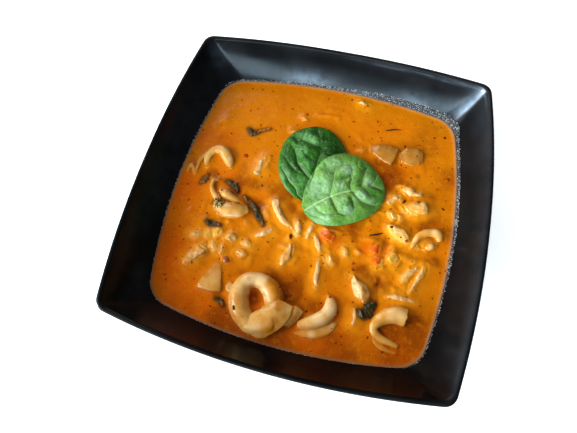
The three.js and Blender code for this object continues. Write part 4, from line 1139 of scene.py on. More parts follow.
# Parts where the soup is deeper in tone, much of it painted shade from the walls, the pieces and the leaves,
# and where an amount is negative, painted light that lightens the left margin: x, y, half width, how much
toneShadeAndLightParts = [
    (-80, 30, 13, 0.1), (-82, -8, 14, -0.25), (-76, -48, 14, -0.32), (-60, -66, 12, -0.25),
    (-66, -24, 16, -0.15), (-4, 72, 26, -0.15), (40, 66, 18, -0.08), (-58, -77, 14, 0.42),
    (-28, -82, 13, 0.82), (0, -57, 9, 0.9), (4, -86, 15, 0.9), (35, -79, 15, 0.8), (68, -72, 15, 0.7),
    (44, -54, 7, 0.8), (46, 33, 12, 0.8), (62, 60, 14, 0.7), (44, -41, 8, 0.9), (-45, 5, 8, 0.9),
    (-32, -12, 7, 0.8), (86, 0, 7, 0.6), (78, -58, 11, 0.7), (-16.5, -64, 4, 1.2), (-33, -78, 7, 0.6),
    (22, -60, 6, 0.7), (30, -10, 7, 0.4), (59, -66, 6, 0.8), (76, -18, 6, 0.6), (14, 8, 10, 0.7),
    (-62, 4, 6, 0.5), (-20, 4, 7, 0.8), (-4, 30, 9, 0.5), (-24, 62, 8, 0.3), (50, 52, 6, 0.5),
    (73, 12, 5, 0.6), (72, -2, 5, 0.7), (73.8, 6, 3.6, 0.8), (69.1, 2.5, 3.6, 0.8), (46.3, -31.3, 5, 1),
    (38.7, -35.9, 4, 0.6), (52.5, -41.9, 4, 0.7), (33.2, -17.3, 4, 0.5), (29, -9.9, 5, 0.5),
    (80.9, -18.1, 3, 0.5), (71.9, -39.5, 3, 0.6), (48.1, -47.3, 3, 0.9), (62.4, -60.9, 4, 0.8),
    (87.3, -45.5, 5, 0.5), (74.3, -55.4, 4.5, 0.9), (44.3, -10.8, 3, 0.4), (58.3, -16.6, 2.6, 0.5),
    (46.1, -1.8, 3, 0.4), (55, 14.1, 2.4, 0.7), (70, 20.8, 2.6, 0.6), (-27.9, -7.4, 4, 0.7),
    (-11.9, -8.6, 4, 0.9), (-37.8, -15, 2.4, 0.6), (0.4, -19.3, 2.6, 0.5), (5.5, -48.6, 6, 0.7),
    (5, -55.4, 4, 0.7), (17.1, -59.9, 6, 0.7), (-26.8, -51.1, 4, 0.7), (-10.7, -47, 4, 0.7),
    (-37, -66.2, 3, 0.7), (2, -69.2, 3, 0.8), (23.3, -29.2, 4, 0.4), (-51.2, -51.5, 3, 0.5),
    (-9.6, -12.3, 3, 0.9), (-0.7, -10.1, 3, 0.7), (18.4, -21.7, 3, 0.6), (-82.9, 16, 3, 0.5),
    (-64.2, 7.3, 3.4, 0.7), (-48.9, -3.5, 3, 0.9), (-67.3, 32.4, 3, 0.4), (37.2, 38.9, 3.4, 1),
    (45.5, 31.3, 4.6, 1), (20.5, 40.6, 2.6, 0.5), (-14, 2.1, 3.4, 1), (-34.8, 4.8, 4, 0.6),
    (-47, 1.8, 4, 0.6), (-34.1, 25.1, 2.6, 0.6), (-47.3, 17, 3, 0.4), (84, 36, 12, 0.5), (75, 36, 9, 0.3),
    (86, 8, 12, 0.4), (86, -22, 12, 0.45), (45.2, -32.2, 5, 0.7), (37.4, -33.5, 4, 0.6),
    (52.9, -30.3, 3.4, 0.5), (31, -38.1, 4, 0.5), (47.7, 21.3, 4.6, 0.8), (53, 25, 4, 0.5),
    (73, 21.4, 4, 0.5), (-9.8, -5.5, 4, 0.8), (-2.3, -9.6, 3.4, 0.8), (-7.4, -46.2, 5, 0.5),
    (6.3, -55.4, 5, 0.5), (-34, -55.4, 3.4, 0.5), (-45.5, -9.4, 2.6, 0.8), (46, -12, 5, 0.35),
    (-56.7, 2.1, 3, 0.5), (66, -34, 3, 0.4), (33, -10, 5, 0.3),
]
# Parts where it is redder: x, y, half width, how much
ruddyParts = [
    (-80, 30, 13, 0.5), (-82, -8, 16, 0.9), (-76, -48, 18, 0.9), (-56, -76, 16, 0.8), (-28, -82, 14, 0.7),
    (0, -57, 12, 0.7), (4, -86, 16, 0.7), (35, -79, 16, 0.7), (68, -76, 14, 0.7), (16, 8, 10, 1),
    (-60, 34, 9, 0.4), (44, -42, 9, 0.6), (-50, 4, 10, 0.6), (-24, -6, 8, 0.6), (46, 30, 10, 0.7),
]
# Dark bits under the surface: x, y, half width, how dark
darkPatches = [
    (45.6, 30, 3, 0.55), (80, 36, 2, 0.55), (-62, 4, 2, 0.55), (-46, 2, 2.4, 0.55), (62, 34, 2.2, 0.55),
    (53.3, -38.7, 3.8, 0.42), (48.8, -39.2, 1.8, 0.6), (-70, 58, 4, 0.2), (-64, 44, 4, 0.22),
    (-30, 76, 3, 0.2), (-57.6, -22.6, 2.4, 0.5), (-54.4, 36, 3, 0.18), (-50, 46.6, 3, 0.2),
    (52, 47, 2, 0.4), (47.4, 40.6, 2, 0.35),
]


def crumbBlobs():
    # every lump as x, y, half width, stretch, turn, how far it rises and how pale it shows
    draw = np.random.default_rng(sunkenCrumbs["seed"])
    blobs = [(x, y, half, 1, 0, push, 0.6 * pale) for x, y, half, push, pale in sunken]
    for x, y, long, wide, turn, push, pale in coatedLumps:
        blobs.append((x, y, wide, long / wide, math.radians(turn), push, pale))
    for _ in range(sunkenCrumbs["count"]):
        x, y, half = crowds[draw.integers(len(crowds))]
        dx, dy = draw.normal(size=2) * half * sunkenCrumbs["spread"]
        drawn = [draw.uniform(*sunkenCrumbs[key]) for key in ("half", "stretch", "push", "pale")]
        size, stretch, push, pale = drawn
        blobs.append((x + dx, y + dy, size, stretch, draw.uniform(0, math.pi), push * min(1, size), pale))
    return blobs


def soupOutline(theta, extra):
    level, half, bulge, corner, shiftX, shiftY = surfaceSection
    r = planRadius(theta, half + extra, bulge, corner)
    return np.column_stack([r * np.cos(theta) + shiftX, r * np.sin(theta) + shiftY])


def soupPlan():
    # a square net stretched over the outline of the surface
    cells = soupForm["cells"]
    t = np.linspace(-1, 1, cells + 1)
    edges = [soupOutline(np.arctan(t) + side * math.pi / 2, soupForm["intoWall"]) for side in range(4)]
    right, top, left, bottom = edges[0], edges[1][::-1], edges[2][::-1], edges[3]
    u = ((t + 1) / 2)[:, None, None]
    v = ((t + 1) / 2)[None, :, None]
    across = (1 - u) * left[None, :, :] + u * right[None, :, :]
    along = (1 - v) * bottom[:, None, :] + v * top[:, None, :]
    corners = ((1 - u) * (1 - v) * left[0] + (1 - u) * v * left[-1]
               + u * (1 - v) * right[0] + u * v * right[-1])
    return (across + along - corners).reshape(-1, 2)


def wallDistance(plan):
    offset = plan - soupMiddle
    theta = np.arctan2(offset[:, 1], offset[:, 0])
    r = planRadius(theta, *surfaceSection[1:4])
    return r - np.hypot(offset[:, 0], offset[:, 1])


def wiltedMurk(plan):
    # dark round the wilted strips and at the dark patches
    murk = nearSpots(plan, darkPatches, soupShares["partEdge"])
    reach = soupShares["wiltedReach"]
    steps = 24
    for keys, wave, folds in wilted.values():
        path = smoothPath([key[:2] for key in keys], steps)
        half = smoothWidths([key[3] for key in keys], steps)
        gap = np.min(np.linalg.norm(plan[:, None] - path[None], axis=2) - half[None], axis=1)
        murk = np.maximum(murk, soupShares["wilted"] * np.exp(-np.maximum(gap, 0) / reach))
    return murk


def shapeAround(plan):
    # for each point: distances to any food and to chicken or dice, and the height of the food over the soup
    count = len(plan)
    above = 20
    seen = float(soupForm["seen"])
    near = np.full(count, seen)
    meaty = np.full(count, seen)
    top = np.full(count, -seen)
    down = Vector((0, 0, -1))
    for i, (x, y) in enumerate(plan):
        point = Vector((x, y, soupLevel))
        hit = foodTree.find_nearest(point, seen)
        if hit[0] is None:
            continue
        near[i] = hit[3]
        meat = meatTree.find_nearest(point, seen)
        meaty[i] = meat[3] if meat[0] is not None else seen
        summit = foodTree.ray_cast(Vector((x, y, soupLevel + above)), down, above + seen)
        if summit[0] is not None:
            top[i] = summit[0].z - soupLevel
    return near, meaty, top


def widened(values, steps):
    # the highest value round each point of the square net
    side = soupForm["cells"] + 1
    grid = values.reshape(side, side)
    for _ in range(steps):
        padded = np.pad(grid, 1, mode="edge")
        neighbours = [padded[:-2, 1:-1], padded[2:, 1:-1], padded[1:-1, :-2], padded[1:-1, 2:]]
        grid = np.max([grid, *neighbours], axis=0)
    return grid.reshape(-1)


def soupSurface(plan):
    form, shares = soupForm, soupShares
    flat = np.column_stack([plan, np.full(len(plan), soupLevel)])
    shifts = [noisy(flat, *soupNoise[key]) for key in ("shiftX", "shiftY")]
    warped = plan + form["ragged"] * np.column_stack(shifts)
    near, meaty, top = shapeAround(plan)
    wall = wallDistance(plan)
    crowd = np.clip(sum(spotsOn(plan, [(*spot, 1) for spot in crowds], 1)), 0, 1)
    veil = np.where(top < 0, np.exp(np.minimum(top, 0) / form["murk"]), 0)
    rubble = crowd * noisy(flat, *soupNoise["rubble"])
    relief = form["lumpDepth"] * veil + form["rubbleDepth"] * rubble
    pale = shares["veil"] * veil
    for x, y, half, stretch, turn, push, share in crumbBlobs():
        dx, dy = warped[:, 0] - x, warped[:, 1] - y
        u = (dx * math.cos(turn) + dy * math.sin(turn)) / (half * stretch)
        v = (dy * math.cos(turn) - dx * math.sin(turn)) / half
        blob = np.exp(-(u * u + v * v) ** form["lumpEdge"])
        relief += push * blob
        pale += share * blob ** shares["lumpEdge"]
    inside = top > 0
    away = np.where(inside, 0, near)
    meatAway = np.where(inside & (meaty < near + 0.01), 0, meaty)

    mound = np.exp(-(meatAway / form["moundReach"]) ** 2)
    hug = form["pieceRise"] * np.exp(-away / form["pieceReach"])
    lift = relief + hug + form["moundRise"] * mound
    # the soup never hides a piece that shows
    shown = widened(top, 3)
    lift = np.where(shown > form["shownFrom"], np.minimum(lift, shown - form["leastShown"]), lift)
    lift += form["wallRise"] * np.exp(-np.maximum(wall, 0) / form["wallReach"])
    calm = np.clip(wall / form["calmReach"], 0, 1)
    for size, depth, seed in form["waves"]:
        lift += depth * calm * unevenness(flat, size, seed)

    pale += shares["raised"] * np.clip((relief - shares["raisedFrom"]) / shares["raisedBy"], 0, 1)
    meatEdge = np.exp(-(meatAway / shares["meatReach"]) ** 2)
    pale += shares["meatEdge"] * meatEdge * noisy(flat, *soupNoise["meatEdge"])
    gold = np.exp(-(meatAway / shares["goldReach"]) ** shares["goldEdge"]) * noisy(flat, *soupNoise["gold"])
    gold += shares["crests"] * crowd * np.clip(relief / 0.5, -1, 1)
    deep = np.clip(noisy(flat, *soupNoise["deep"]), 0, 1)
    deep += shares["hollows"] * crowd * np.clip(-rubble - 0.1, 0, 1)
    # deeper tone and painted shade, and painted light where an amount is negative
    deep += sum(spotsOn(warped, toneShadeAndLightParts, shares["partEdge"]))
    ruddy = noisy(flat, *soupNoise["ruddy"]) + sum(spotsOn(warped, ruddyParts, shares["partEdge"]))
    fields = {
        "red": nearSpots(warped, redParts),
        "pale": pale,
        "gold": gold,
        "deep": deep / shares["deepest"],
        "ruddy": ruddy,
        "rim": np.exp(-np.maximum(wall, 0) / shares["rimReach"]),
        "murk": wiltedMurk(plan),
    }
    clipped = {key: np.clip(values, 0, 1) for key, values in fields.items()}
    return np.column_stack([plan, soupLevel + lift]), clipped


def soupShape():
    cells = soupForm["cells"]
    points, fields = soupSurface(soupPlan())
    index = np.arange((cells + 1) ** 2).reshape(cells + 1, cells + 1)
    a, b, c, d = index[:-1, :-1], index[1:, :-1], index[1:, 1:], index[:-1, 1:]
    faces = [tuple(face) for face in np.stack([a, b, c, d], axis=-1).reshape(-1, 4).tolist()]
    border = [*index[:-1, 0], *index[-1, :-1], *index[:0:-1, -1], *index[0, :0:-1]]
    rows = [border]
    everything = [points]
    start = len(points)
    size = len(border)
    offset = points[border][:, :2] - soupMiddle
    theta = np.arctan2(offset[:, 1], offset[:, 0])
    # under the surface it reaches a little into the bowl
    deeper, wider = soupForm["intoFloor"], soupForm["intoSides"]
    for z, half, bulge, corner, shiftX, shiftY in bowlForm["inside"][bowlForm["surfaceAt"] + 1:]:
        everything.append(planLoop((z - deeper, half + wider, bulge, corner, shiftX, shiftY), theta))
        rows.append(list(range(start, start + size)))
        start += size
    everything.append(np.array([[*soupMiddle, bowlForm["floorMiddle"][2] - deeper]]))
    for upper, lower in zip(rows, rows[1:]):
        for j in range(size):
            k = (j + 1) % size
            faces.append((upper[j], lower[j], lower[k], upper[k]))
    for j in range(size):
        faces.append((rows[-1][j], start, rows[-1][(j + 1) % size]))
    whole = np.vstack(everything)
    unseen = np.zeros(len(whole) - len(points))
    return (whole, faces), {key: np.concatenate([values, unseen]) for key, values in fields.items()}


soupTones = {
    "orange": (0.66, 0.190, 0.0010, 1),
    "brown": (0.30, 0.054, 0.0008, 1),
    "ruddy": (0.73, 0.124, 0.0008, 1),
    "gold": (0.80, 0.275, 0.006, 1),
    "cream": (0.90, 0.46, 0.085, 1),
    "edge": (0.30, 0.155, 0.070, 1),
    "fleck": (0.22, 0.034, 0.001, 1),
    "milky": (0.74, 0.27, 0.006, 1),
    "red": (0.68, 0.100, 0.0010, 1),
    "murky": (0.12, 0.036, 0.003, 1),
}
# Sizes of its patterns, in millimetres
soupPatterns = {"fine": 0.9, "cloud": 9, "milky": 3.4, "flecks": 1.9, "fleckSizes": 2.3}


def soupMaterial():
    fixed = {
        "IOR": 1.36,
        "Specular IOR Level": 0.25,
        "Subsurface Weight": 0.12,
        "Subsurface Radius": (1.0, 0.4, 0.08),
        "Subsurface Scale": 0.002,
    }
    material, tree, shader = newMaterial("creamy_soup", fixed)
    tones, sizes = soupTones, soupPatterns
    place = placeOn(tree)
    fine = noiseOn(tree, place, sizes["fine"], 3, 0.6)
    cloud = noiseOn(tree, place, sizes["cloud"], 4, 0.6)
    milky = noiseOn(tree, place, sizes["milky"], 3)
    deep = times(tree, fieldOf(tree, "deep"), fade(tree, cloud, 0.25, 0.75, 0.75, 1.1))
    dots = cellsOn(tree, place, sizes["flecks"], "F1")
    dotSize = times(tree, fade(tree, noiseOn(tree, place, sizes["fleckSizes"], 1), 0.45, 0.75), 0.26)
    flecks = fade(tree, maths(tree, "SUBTRACT", dots, dotSize), -0.02, 0.05, 0.55, 0)
    tone = layered(tree, tones["orange"], [
        (fieldOf(tree, "ruddy"), tones["ruddy"]),
        (fade(tree, deep, 0.15, 0.9, 0, 0.9), tones["brown"]),
        (times(tree, fade(tree, milky, 0.52, 0.74), 0.42), tones["milky"]),
        (fade(tree, fine, 0.5, 0.72, 0, 0.22), tones["brown"]),
        (fade(tree, fine, 0.5, 0.3, 0, 0.2), tones["gold"]),
        (fade(tree, fieldOf(tree, "gold"), 0.05, 0.95, 0, 0.9), tones["gold"]),
        (fade(tree, fieldOf(tree, "pale"), 0.15, 1, 0, 0.85), tones["cream"]),
        (times(tree, fieldOf(tree, "red"), 0.7), tones["red"]),
        (fade(tree, fieldOf(tree, "murk"), 0.1, 0.9, 0, 0.85), tones["murky"]),
        (flecks, tones["fleck"]),
        (fade(tree, fieldOf(tree, "rim"), 0.35, 1, 0, 0.9), tones["edge"]),
    ])
    bump = bumpOf(tree, fine, 0.04, bumpOf(tree, cloud, 0.15))
    connect(tree, shader, tone, fade(tree, fine, 0.3, 0.7, 0.15, 0.27), bump)
    return material


soup, soupFields = soupShape()
addPiece("soup_ladled", soup, soupMaterial(), ["soup"], soupFields)
groundTree = treeOf([*foodShapes, soup])
print("the soup is ladled in")


# Wilted spinach: crumpled strips that lie on whatever is under them

overAll = 60   # a height over everything in the bowl


def heightUnder(tree, x, y):
    hit = tree.ray_cast(Vector((x, y, overAll)), Vector((0, 0, -1)))
    return hit[0].z if hit[0] is not None else soupLevel


def crumpledStrip(keys, wave, folds, seed):
    look = wiltedLook
    middle = smoothPath([key[:3] for key in keys], look["rows"])
    half = smoothWidths([key[3] for key in keys], look["rows"])
    along = unit(np.gradient(middle, axis=0))
    side = unit(np.cross([0, 0, 1], along))
    s = np.linspace(-1, 1, look["columns"])
    draw = np.random.default_rng(seed)
    straight = middle[:, None, :] + side[:, None, :] * (half[:, None] * s[None, :])[..., None]
    tatter = unevenness(straight.reshape(-1, 3), look["tatterSize"], seed).reshape(straight.shape[:2])
    ragged = 0.95 + look["ragged"] * tatter * np.abs(s)[None, :] ** 2
    net = middle[:, None, :] + side[:, None, :] * (half[:, None] * s[None, :] * ragged)[..., None]
    flat = net.reshape(-1, 3)
    ground = np.array([heightUnder(groundTree, x, y) for x, y, z in flat]).reshape(net.shape[:2])
    t = np.linspace(0, 1, look["rows"])[:, None]
    phase = draw.uniform(-0.3, 0.3)
    curl = 0.5 * wave * (1 + np.sin(folds * math.pi * t + look["skew"] * s[None, :] + phase))
    crumple = look["crumple"] * np.abs(unevenness(flat, look["crumpleSize"], seed + 1)).reshape(ground.shape)
    tucked = look["tuck"] * np.abs(s[None, :]) ** 3
    net[..., 2] = ground + look["thick"] + look["clearance"] + curl + crumple - tucked
    return thinSheet(net, look["thick"])


def wiltedMaterial(name, frothy):
    look = wiltedLook
    fixed = {
        "IOR": 1.45,
        "Specular IOR Level": 0.12 if frothy else 0.3,
        "Coat Weight": 0.05,
        "Coat Roughness": 0.1,
    }
    material, tree, shader = newMaterial(name, fixed)
    place = placeOn(tree)
    dark, green, grey = look["tones"]
    patches = noiseOn(tree, place, 2.4, 4, 0.6)
    layers = [
        (fade(tree, patches, 0.4, 0.62), green),
        (fade(tree, cellsOn(tree, place, 1.6), 0, 0.07, 0.32, 0), grey),
        (wetness(tree, place, patches, look["stainTop"], look["drip"], look["stainShare"]), look["stained"]),
        (fieldOf(tree, "soaked"), look["soaked"]),
    ]
    if frothy:
        # pale froth bubbles, painted bright partly as their glints
        bubblesAndGlints = fade(tree, cellsOn(tree, place, 0.8, "F1"), 0.6, 0.3, 0, 0.95)
        layers.append((bubblesAndGlints, look["froth_and_glint"]))
    bump = bumpOf(tree, noiseOn(tree, place, 0.9, 3), 0.08)
    connect(tree, shader, layered(tree, dark, layers), fade(tree, patches, 0.3, 0.7, 0.22, 0.42), bump)
    return material


wiltedGreen = wiltedMaterial("wilted_spinach", False)
frothyGreen = wiltedMaterial("frothy_spinach", True)
for order, (node, (keys, wave, folds)) in enumerate(wilted.items()):
    shape = crumpledStrip(keys, wave, folds, wiltedLook["seed"] + 10 * order)
    skin = frothyGreen if node == "wilted_hook" else wiltedGreen
    soaking = {"soaked": nearSpots(shape[0], wiltedLook["soakedSpots"])}
    addPiece(node + "_limp", shape, skin, [node], soaking)
print("the wilted spinach is laid")


# The two fresh leaves. Places on a leaf are t along its midrib and s across, from edge to edge.

leafForm = {
    "steps": 164, "thick": 0.7, "square": 2.15, "edgeHalf": 0.6, "edgeDrop": 0.65,
    "fallPastEdge": 0.45, "rest": 0.75, "meetRound": 1.5, "puffReach": 2.4, "creaseBlend": 6,
    "quiltSize": 7.0, "quilt": 0.4, "cushionSize": 4.6, "cushion": 0.85, "valleyHalf": 0.16,
    "valleyShade": 0.6, "edgeWave": 0.35,
}
# Each vein: how deep the blade sinks at it, half width of its pale line, how pale, and its places in x and y
leaves = {
    "leaf_back": {
        "stalk": (-3, 0.4), "tip": (-4.6, 54), "leftHalf": 22, "rightHalf": 25, "leftFullest": 1.1,
        "rightFullest": 0.62, "bend": 3.4, "stalkHalf": 2.4, "low": 1.5, "dome": 2.8, "tilt": 0.3,
        "puff": 2.1, "seed": 900,
        "sheen": [
            (-11.6, 42.6, 3.8, 1), (-7, 41, 3.4, 1), (-12, 31.5, 4, 0.65), (-19.5, 13, 3.4, 0.6),
            (-5.5, 24, 4, 0.35), (-8, 12.5, 4, 0.35), (-16.5, 37.5, 3, 0.35),
        ],
        "shade": [
            (10, 39, 13, 1), (16, 30, 9, 1), (-18, 24, 5, 0.7), (-3.5, 36.4, 3, 0.7), (-15, 15, 4, 0.5),
            (-3, 47, 5, 0.6),
        ],
        "veins": [
            (1, 0.30, 0.55, [(-1.3, 10.5), (-0.8, 16.9), (-0.9, 21.5), (-0.6, 26.8), (-0.1, 33.4)]),
            (0.45, 0.2, 0.0, [(-0.1, 33.4), (-1.3, 38.5), (-3.6, 45.2), (-6.2, 51.5)]),
            (1, 0.3, 0.9, [(0.2, 12.6), (-2.9, 14.9), (-8.1, 19.1), (-12.2, 22.8), (-15.1, 29.2),
                           (-16.6, 31.8)]),
            (0.7, 0.2, 0.3, [(-16.6, 31.8), (-19.9, 35.3)]),
            (1, 0.3, 0.9, [(-0.7, -0.4), (-4.2, 1.5), (-7.7, 3.4), (-10, 7.3), (-14.6, 10.1),
                           (-17.9, 14.5), (-21.9, 18.7)]),
            (1.1, 0.2, 0.1, [(-1.1, 37.9), (-3.8, 37.9), (-8.3, 39.0), (-13.4, 40.2), (-16.1, 38.3),
                             (-18.7, 41.1)]),
            (0.6, 0.22, 0.25, [(-0.1, 33.4), (3.3, 34.5), (8, 34.7), (13.2, 37.1), (15.8, 39.6)]),
            (0.5, 0.2, 0.1, [(-1.3, 38.5), (3, 40.7), (7.5, 41.8), (12.3, 41.1)]),
            (0.45, 0.2, 0.0, [(-1.1, 26.6), (-4.5, 27.6), (-7.8, 28.6), (-10.7, 31.4)]),
            (0.7, 0.2, 0.0, [(-6.1, 17.3), (-9, 16.6), (-13, 18), (-17.6, 21.5), (-21.3, 25.3)]),
            (0.4, 0.2, 0.0, [(-2.8, 43), (0.8, 45.7), (4.3, 46.5)]),
            (0.7, 0.2, 0.1, [(-1, 19), (5, 23), (12, 27), (19, 29)]),
        ],
    },
    "leaf_front": {
        "stalk": (-2.4, -5), "tip": (42.1, 22.7), "leftHalf": 26.9, "rightHalf": 18, "leftFullest": 1.37,
        "rightFullest": 1, "bend": 1.2, "stalkHalf": 2.9, "low": 2.4, "dome": 2.6, "tilt": 0.4, "puff": 2.1,
        "seed": 950,
        "sheen": [(4.1, 9.9, 8, 0.7), (9, 27, 6, 0.5), (18.4, 25.6, 4, 1), (3.9, -4.4, 4, 0.7),
                  (11, -9, 5, 0.7), (24.5, -0.8, 3.2, 0.9), (19.5, 4.5, 3.2, 0.5), (16, 13.5, 4, 0.6),
                  (30, 10.6, 4, 0.7), (32.8, 20.6, 3.2, 0.8), (35.6, 8.6, 3, 0.4), (10, 1.5, 4, 0.4)],
        "shade": [(41, 13, 10, 1), (37, 5, 7, 0.8), (31, 24, 4, 0.5), (33, 29, 7, 1), (8, 10.5, 2, 0.5),
                  (9, 21, 1.6, 0.4), (38, 24, 5, 0.9), (27, 27, 5, 0.7), (16, 18, 2.6, 0.8),
                  (27.5, 4, 3.4, 0.8), (16.6, 3.2, 2, 0.7), (30.5, 1, 5, 0.6), (33.6, 14.8, 3, 0.8),
                  (22, 32, 5, 0.6), (35, 0, 6, 0.6), (9.6, 15, 2.4, 0.6)],
        "veins": [
            (0.9, 0.46, 1, [(-0.8, -6), (4.4, -0.7), (11.1, 4.7), (17.6, 9), (24.1, 12.5)]),
            (0.6, 0.2, 0.15, [(24.1, 12.5), (29.4, 16.8), (34.4, 19.5)]),
            (0.9, 0.26, 0.8, [(34.4, 19.5), (41.4, 18.7)]),
            (1, 0.28, 0.9, [(12, 5.2), (12.2, 9.9), (12.2, 15.5), (11.7, 20.1), (12, 24.5)]),
            (0.7, 0.22, 0.5, [(12, 24.5), (10.5, 27.6), (9.1, 29.6)]),
            (0.9, 0.26, 0.8, [(24.1, 12.5), (22.4, 15.7), (22.8, 19.7), (21.7, 22.6)]),
            (1.2, 0.2, 0.1, [(12.1, 16.9), (15.7, 17.7), (19.1, 20.8), (21.7, 22.6)]),
            (0.7, 0.2, 0.1, [(21.7, 22.6), (21.6, 26.8), (19.3, 29.4), (15.9, 28.6), (13.4, 26), (12, 24.5)]),
            (0.95, 0.24, 0.6, [(24.1, 12.5), (27.5, 9.3), (31.3, 7.2), (35.8, 6.7), (39.6, 7.4),
                               (41.6, 9.5)]),
            (1, 0.24, 0.5, [(12.7, 5.4), (15.9, 1.0), (19.0, -3.0), (23.3, -3.7), (26.3, -2.0), (27.9, 1.3),
                              (26.6, 5.3), (25.1, 7.6)]),
            (1, 0.22, 0.5, [(29.4, 16.8), (29.2, 21.3), (29.5, 26.5), (30.6, 30.1)]),
            (1, 0.22, 0.5, [(34.4, 19.5), (36.7, 23.1), (37.4, 27.2)]),
            (0.7, 0.2, 0.4, [(11.5, 18.7), (8.5, 18.5), (6.6, 22.1), (7.1, 25.6), (9.5, 27.4)]),
            (0.8, 0.2, 0.3, [(12.2, 7.7), (11.1, 6.9), (6.7, 6.4), (3.9, 5.7), (1.2, 6.4), (0.6, 4.3)]),
            (0.7, 0.2, 0.3, [(1.8, 14.4), (4.8, 12.6), (5.9, 10), (6.7, 6.4)]),
            (0.9, 0.2, 0.3, [(4.8, 12.6), (5.9, 16.2), (8.6, 18)]),
            (0.8, 0.2, 0.2, [(3.6, -1.5), (7.3, -4.8), (11.5, -5.9), (16.2, -4.8), (19, -3)]),
            (0.6, 0.2, 0.3, [(3.1, -8), (7.1, -8.1), (10.3, -8.9), (13.4, -9.7)]),
            (0.9, 0.2, 0.1, [(31, 16.2), (33.3, 14.5), (35.2, 12.8), (38.4, 13.6)]),
            (0.4, 0.2, 0.2, [(27.5, -3), (29.5, -5.7), (29.6, -8.3)]),
        ],
    },
}


def leafAxes(leaf):
    stalk = np.array(leaf["stalk"], float)
    run = np.array(leaf["tip"], float) - stalk
    length = np.linalg.norm(run)
    along = run / length
    return stalk, length, along, np.array([-along[1], along[0]])


def leafHalf(leaf, t, s):
    left = s > 0
    side = np.where(left, leaf["leftHalf"], leaf["rightHalf"])
    stretched = 2 * t ** np.where(left, leaf["leftFullest"], leaf["rightFullest"]) - 1
    blade = side * np.sqrt(np.maximum(0, 1 - np.abs(stretched) ** leafForm["square"]))
    return np.maximum(blade, leaf["stalkHalf"] * (1 - t) ** 4)


def distanceTo(vein, plan):
    nearest = np.full(len(plan), 1e9)
    for start, end in zip(vein, vein[1:]):
        start, end = np.array(start, float), np.array(end, float)
        run = end - start
        t = np.clip((plan - start) @ run / (run @ run), 0, 1)
        nearest = np.minimum(nearest, np.linalg.norm(plan - start - t[:, None] * run, axis=1))
    return nearest


def veinMarks(leaf, plan):
    # how far the blade sinks towards its veins, and their pale lines
    blend = leafForm["creaseBlend"]
    sunk = np.zeros(len(plan))
    lines = np.zeros(len(plan))
    for depth, width, share, vein in leaf["veins"]:
        apart = distanceTo(vein, plan)
        sunk += (depth * np.exp(-apart / leafForm["puffReach"])) ** blend
        lines = np.maximum(lines, share * np.exp(-(apart / width) ** 2))
    return sunk ** (1 / blend), lines


def cushionsOn(leaf, plan):
    # small cushions, 0 in the sharp valleys between them
    flat = np.column_stack([plan, np.zeros(len(plan))])
    coarse = np.abs(unevenness(flat, leafForm["cushionSize"], leaf["seed"] + 2))
    fine = np.abs(unevenness(flat, leafForm["cushionSize"] / 2, leaf["seed"] + 1))
    return 0.7 * np.minimum(coarse, 0.5) ** 0.7 + 0.3 * np.minimum(fine, 0.5) ** 0.7


def quiltedLift(leaf, plan):
    # the blade puffs up in cushions between its veins
    sunk = veinMarks(leaf, plan)[0]
    flat = np.column_stack([plan, np.zeros(len(plan))])
    swell = leafForm["quilt"] * unevenness(flat, leafForm["quiltSize"], leaf["seed"])
    swell += leafForm["cushion"] * cushionsOn(leaf, plan)
    return leaf["puff"] * (1 - sunk) + swell * (1 - 0.7 * np.minimum(sunk, 1))


def leafLift(leaf, t, s, plan):
    middle = np.sin(math.pi * t)
    domed = leaf["dome"] * middle ** 0.8 * (1 - leafForm["edgeDrop"] * s * s)
    flatten = (1 - s ** 6) * np.sqrt(middle)
    waved = leafForm["edgeWave"] * s ** 4 * np.sin(9 * t + 2 * s)
    return leaf["low"] + domed + quiltedLift(leaf, plan) * flatten + leaf["tilt"] * s + waved


def backLeafUnder(plan):
    leaf = leaves["leaf_back"]
    stalk, length, along, across = leafAxes(leaf)
    t = np.clip((plan - stalk) @ along / length, 0.001, 0.999)
    w = (plan - stalk) @ across
    reach = leafHalf(leaf, t, w)
    s = np.clip(w / np.maximum(reach, leafForm["edgeHalf"]), -1, 1)
    past = np.maximum(0, np.abs(w) - reach)
    return leafLift(leaf, t, s, plan) - leafForm["fallPastEdge"] * past


def leafShape(leaf, onTop):
    steps = leafForm["steps"]
    stalk, length, along, across = leafAxes(leaf)
    t = (0.5 - 0.5 * np.cos(math.pi * np.arange(steps + 1) / steps))[:, None]
    s = np.sin(math.pi / 2 * (2 * np.arange(steps + 1) / steps - 1))[None, :]
    t, s = (grid.reshape(-1) for grid in np.broadcast_arrays(t, s))
    bent = leaf["bend"] * 4 * t * (1 - t) * (1 - s * s)
    width = np.maximum(leafHalf(leaf, t, s), leafForm["edgeHalf"]) * s + bent
    plan = stalk + along * (length * t)[:, None] + across * width[:, None]
    lift = leafLift(leaf, t, s, plan)
    if onTop:
        held = backLeafUnder(plan) + leafForm["thick"] + leafForm["rest"]
        lift = (lift + held + np.sqrt((lift - held) ** 2 + leafForm["meetRound"])) / 2
    net = np.column_stack([plan, soupLevel + lift]).reshape(steps + 1, steps + 1, 3)
    sunk, lines = veinMarks(leaf, plan)
    valleys = leafForm["valleyShade"] * np.exp(-(cushionsOn(leaf, plan) / leafForm["valleyHalf"]) ** 2)
    fields = {
        "line": lines,
        # painted shade in the creases by the veins and in the valleys between cushions
        "crease": np.maximum(np.clip(sunk, 0, 1) ** 3.5, valleys),
        "edge": np.abs(s) ** 12,
        "sheen": nearSpots(plan, leaf["sheen"]),
        "shade": nearSpots(plan, leaf["shade"]),
    }
    fields = {key: np.concatenate([values, values]) for key, values in fields.items()}
    return thinSheet(net, leafForm["thick"]), fields


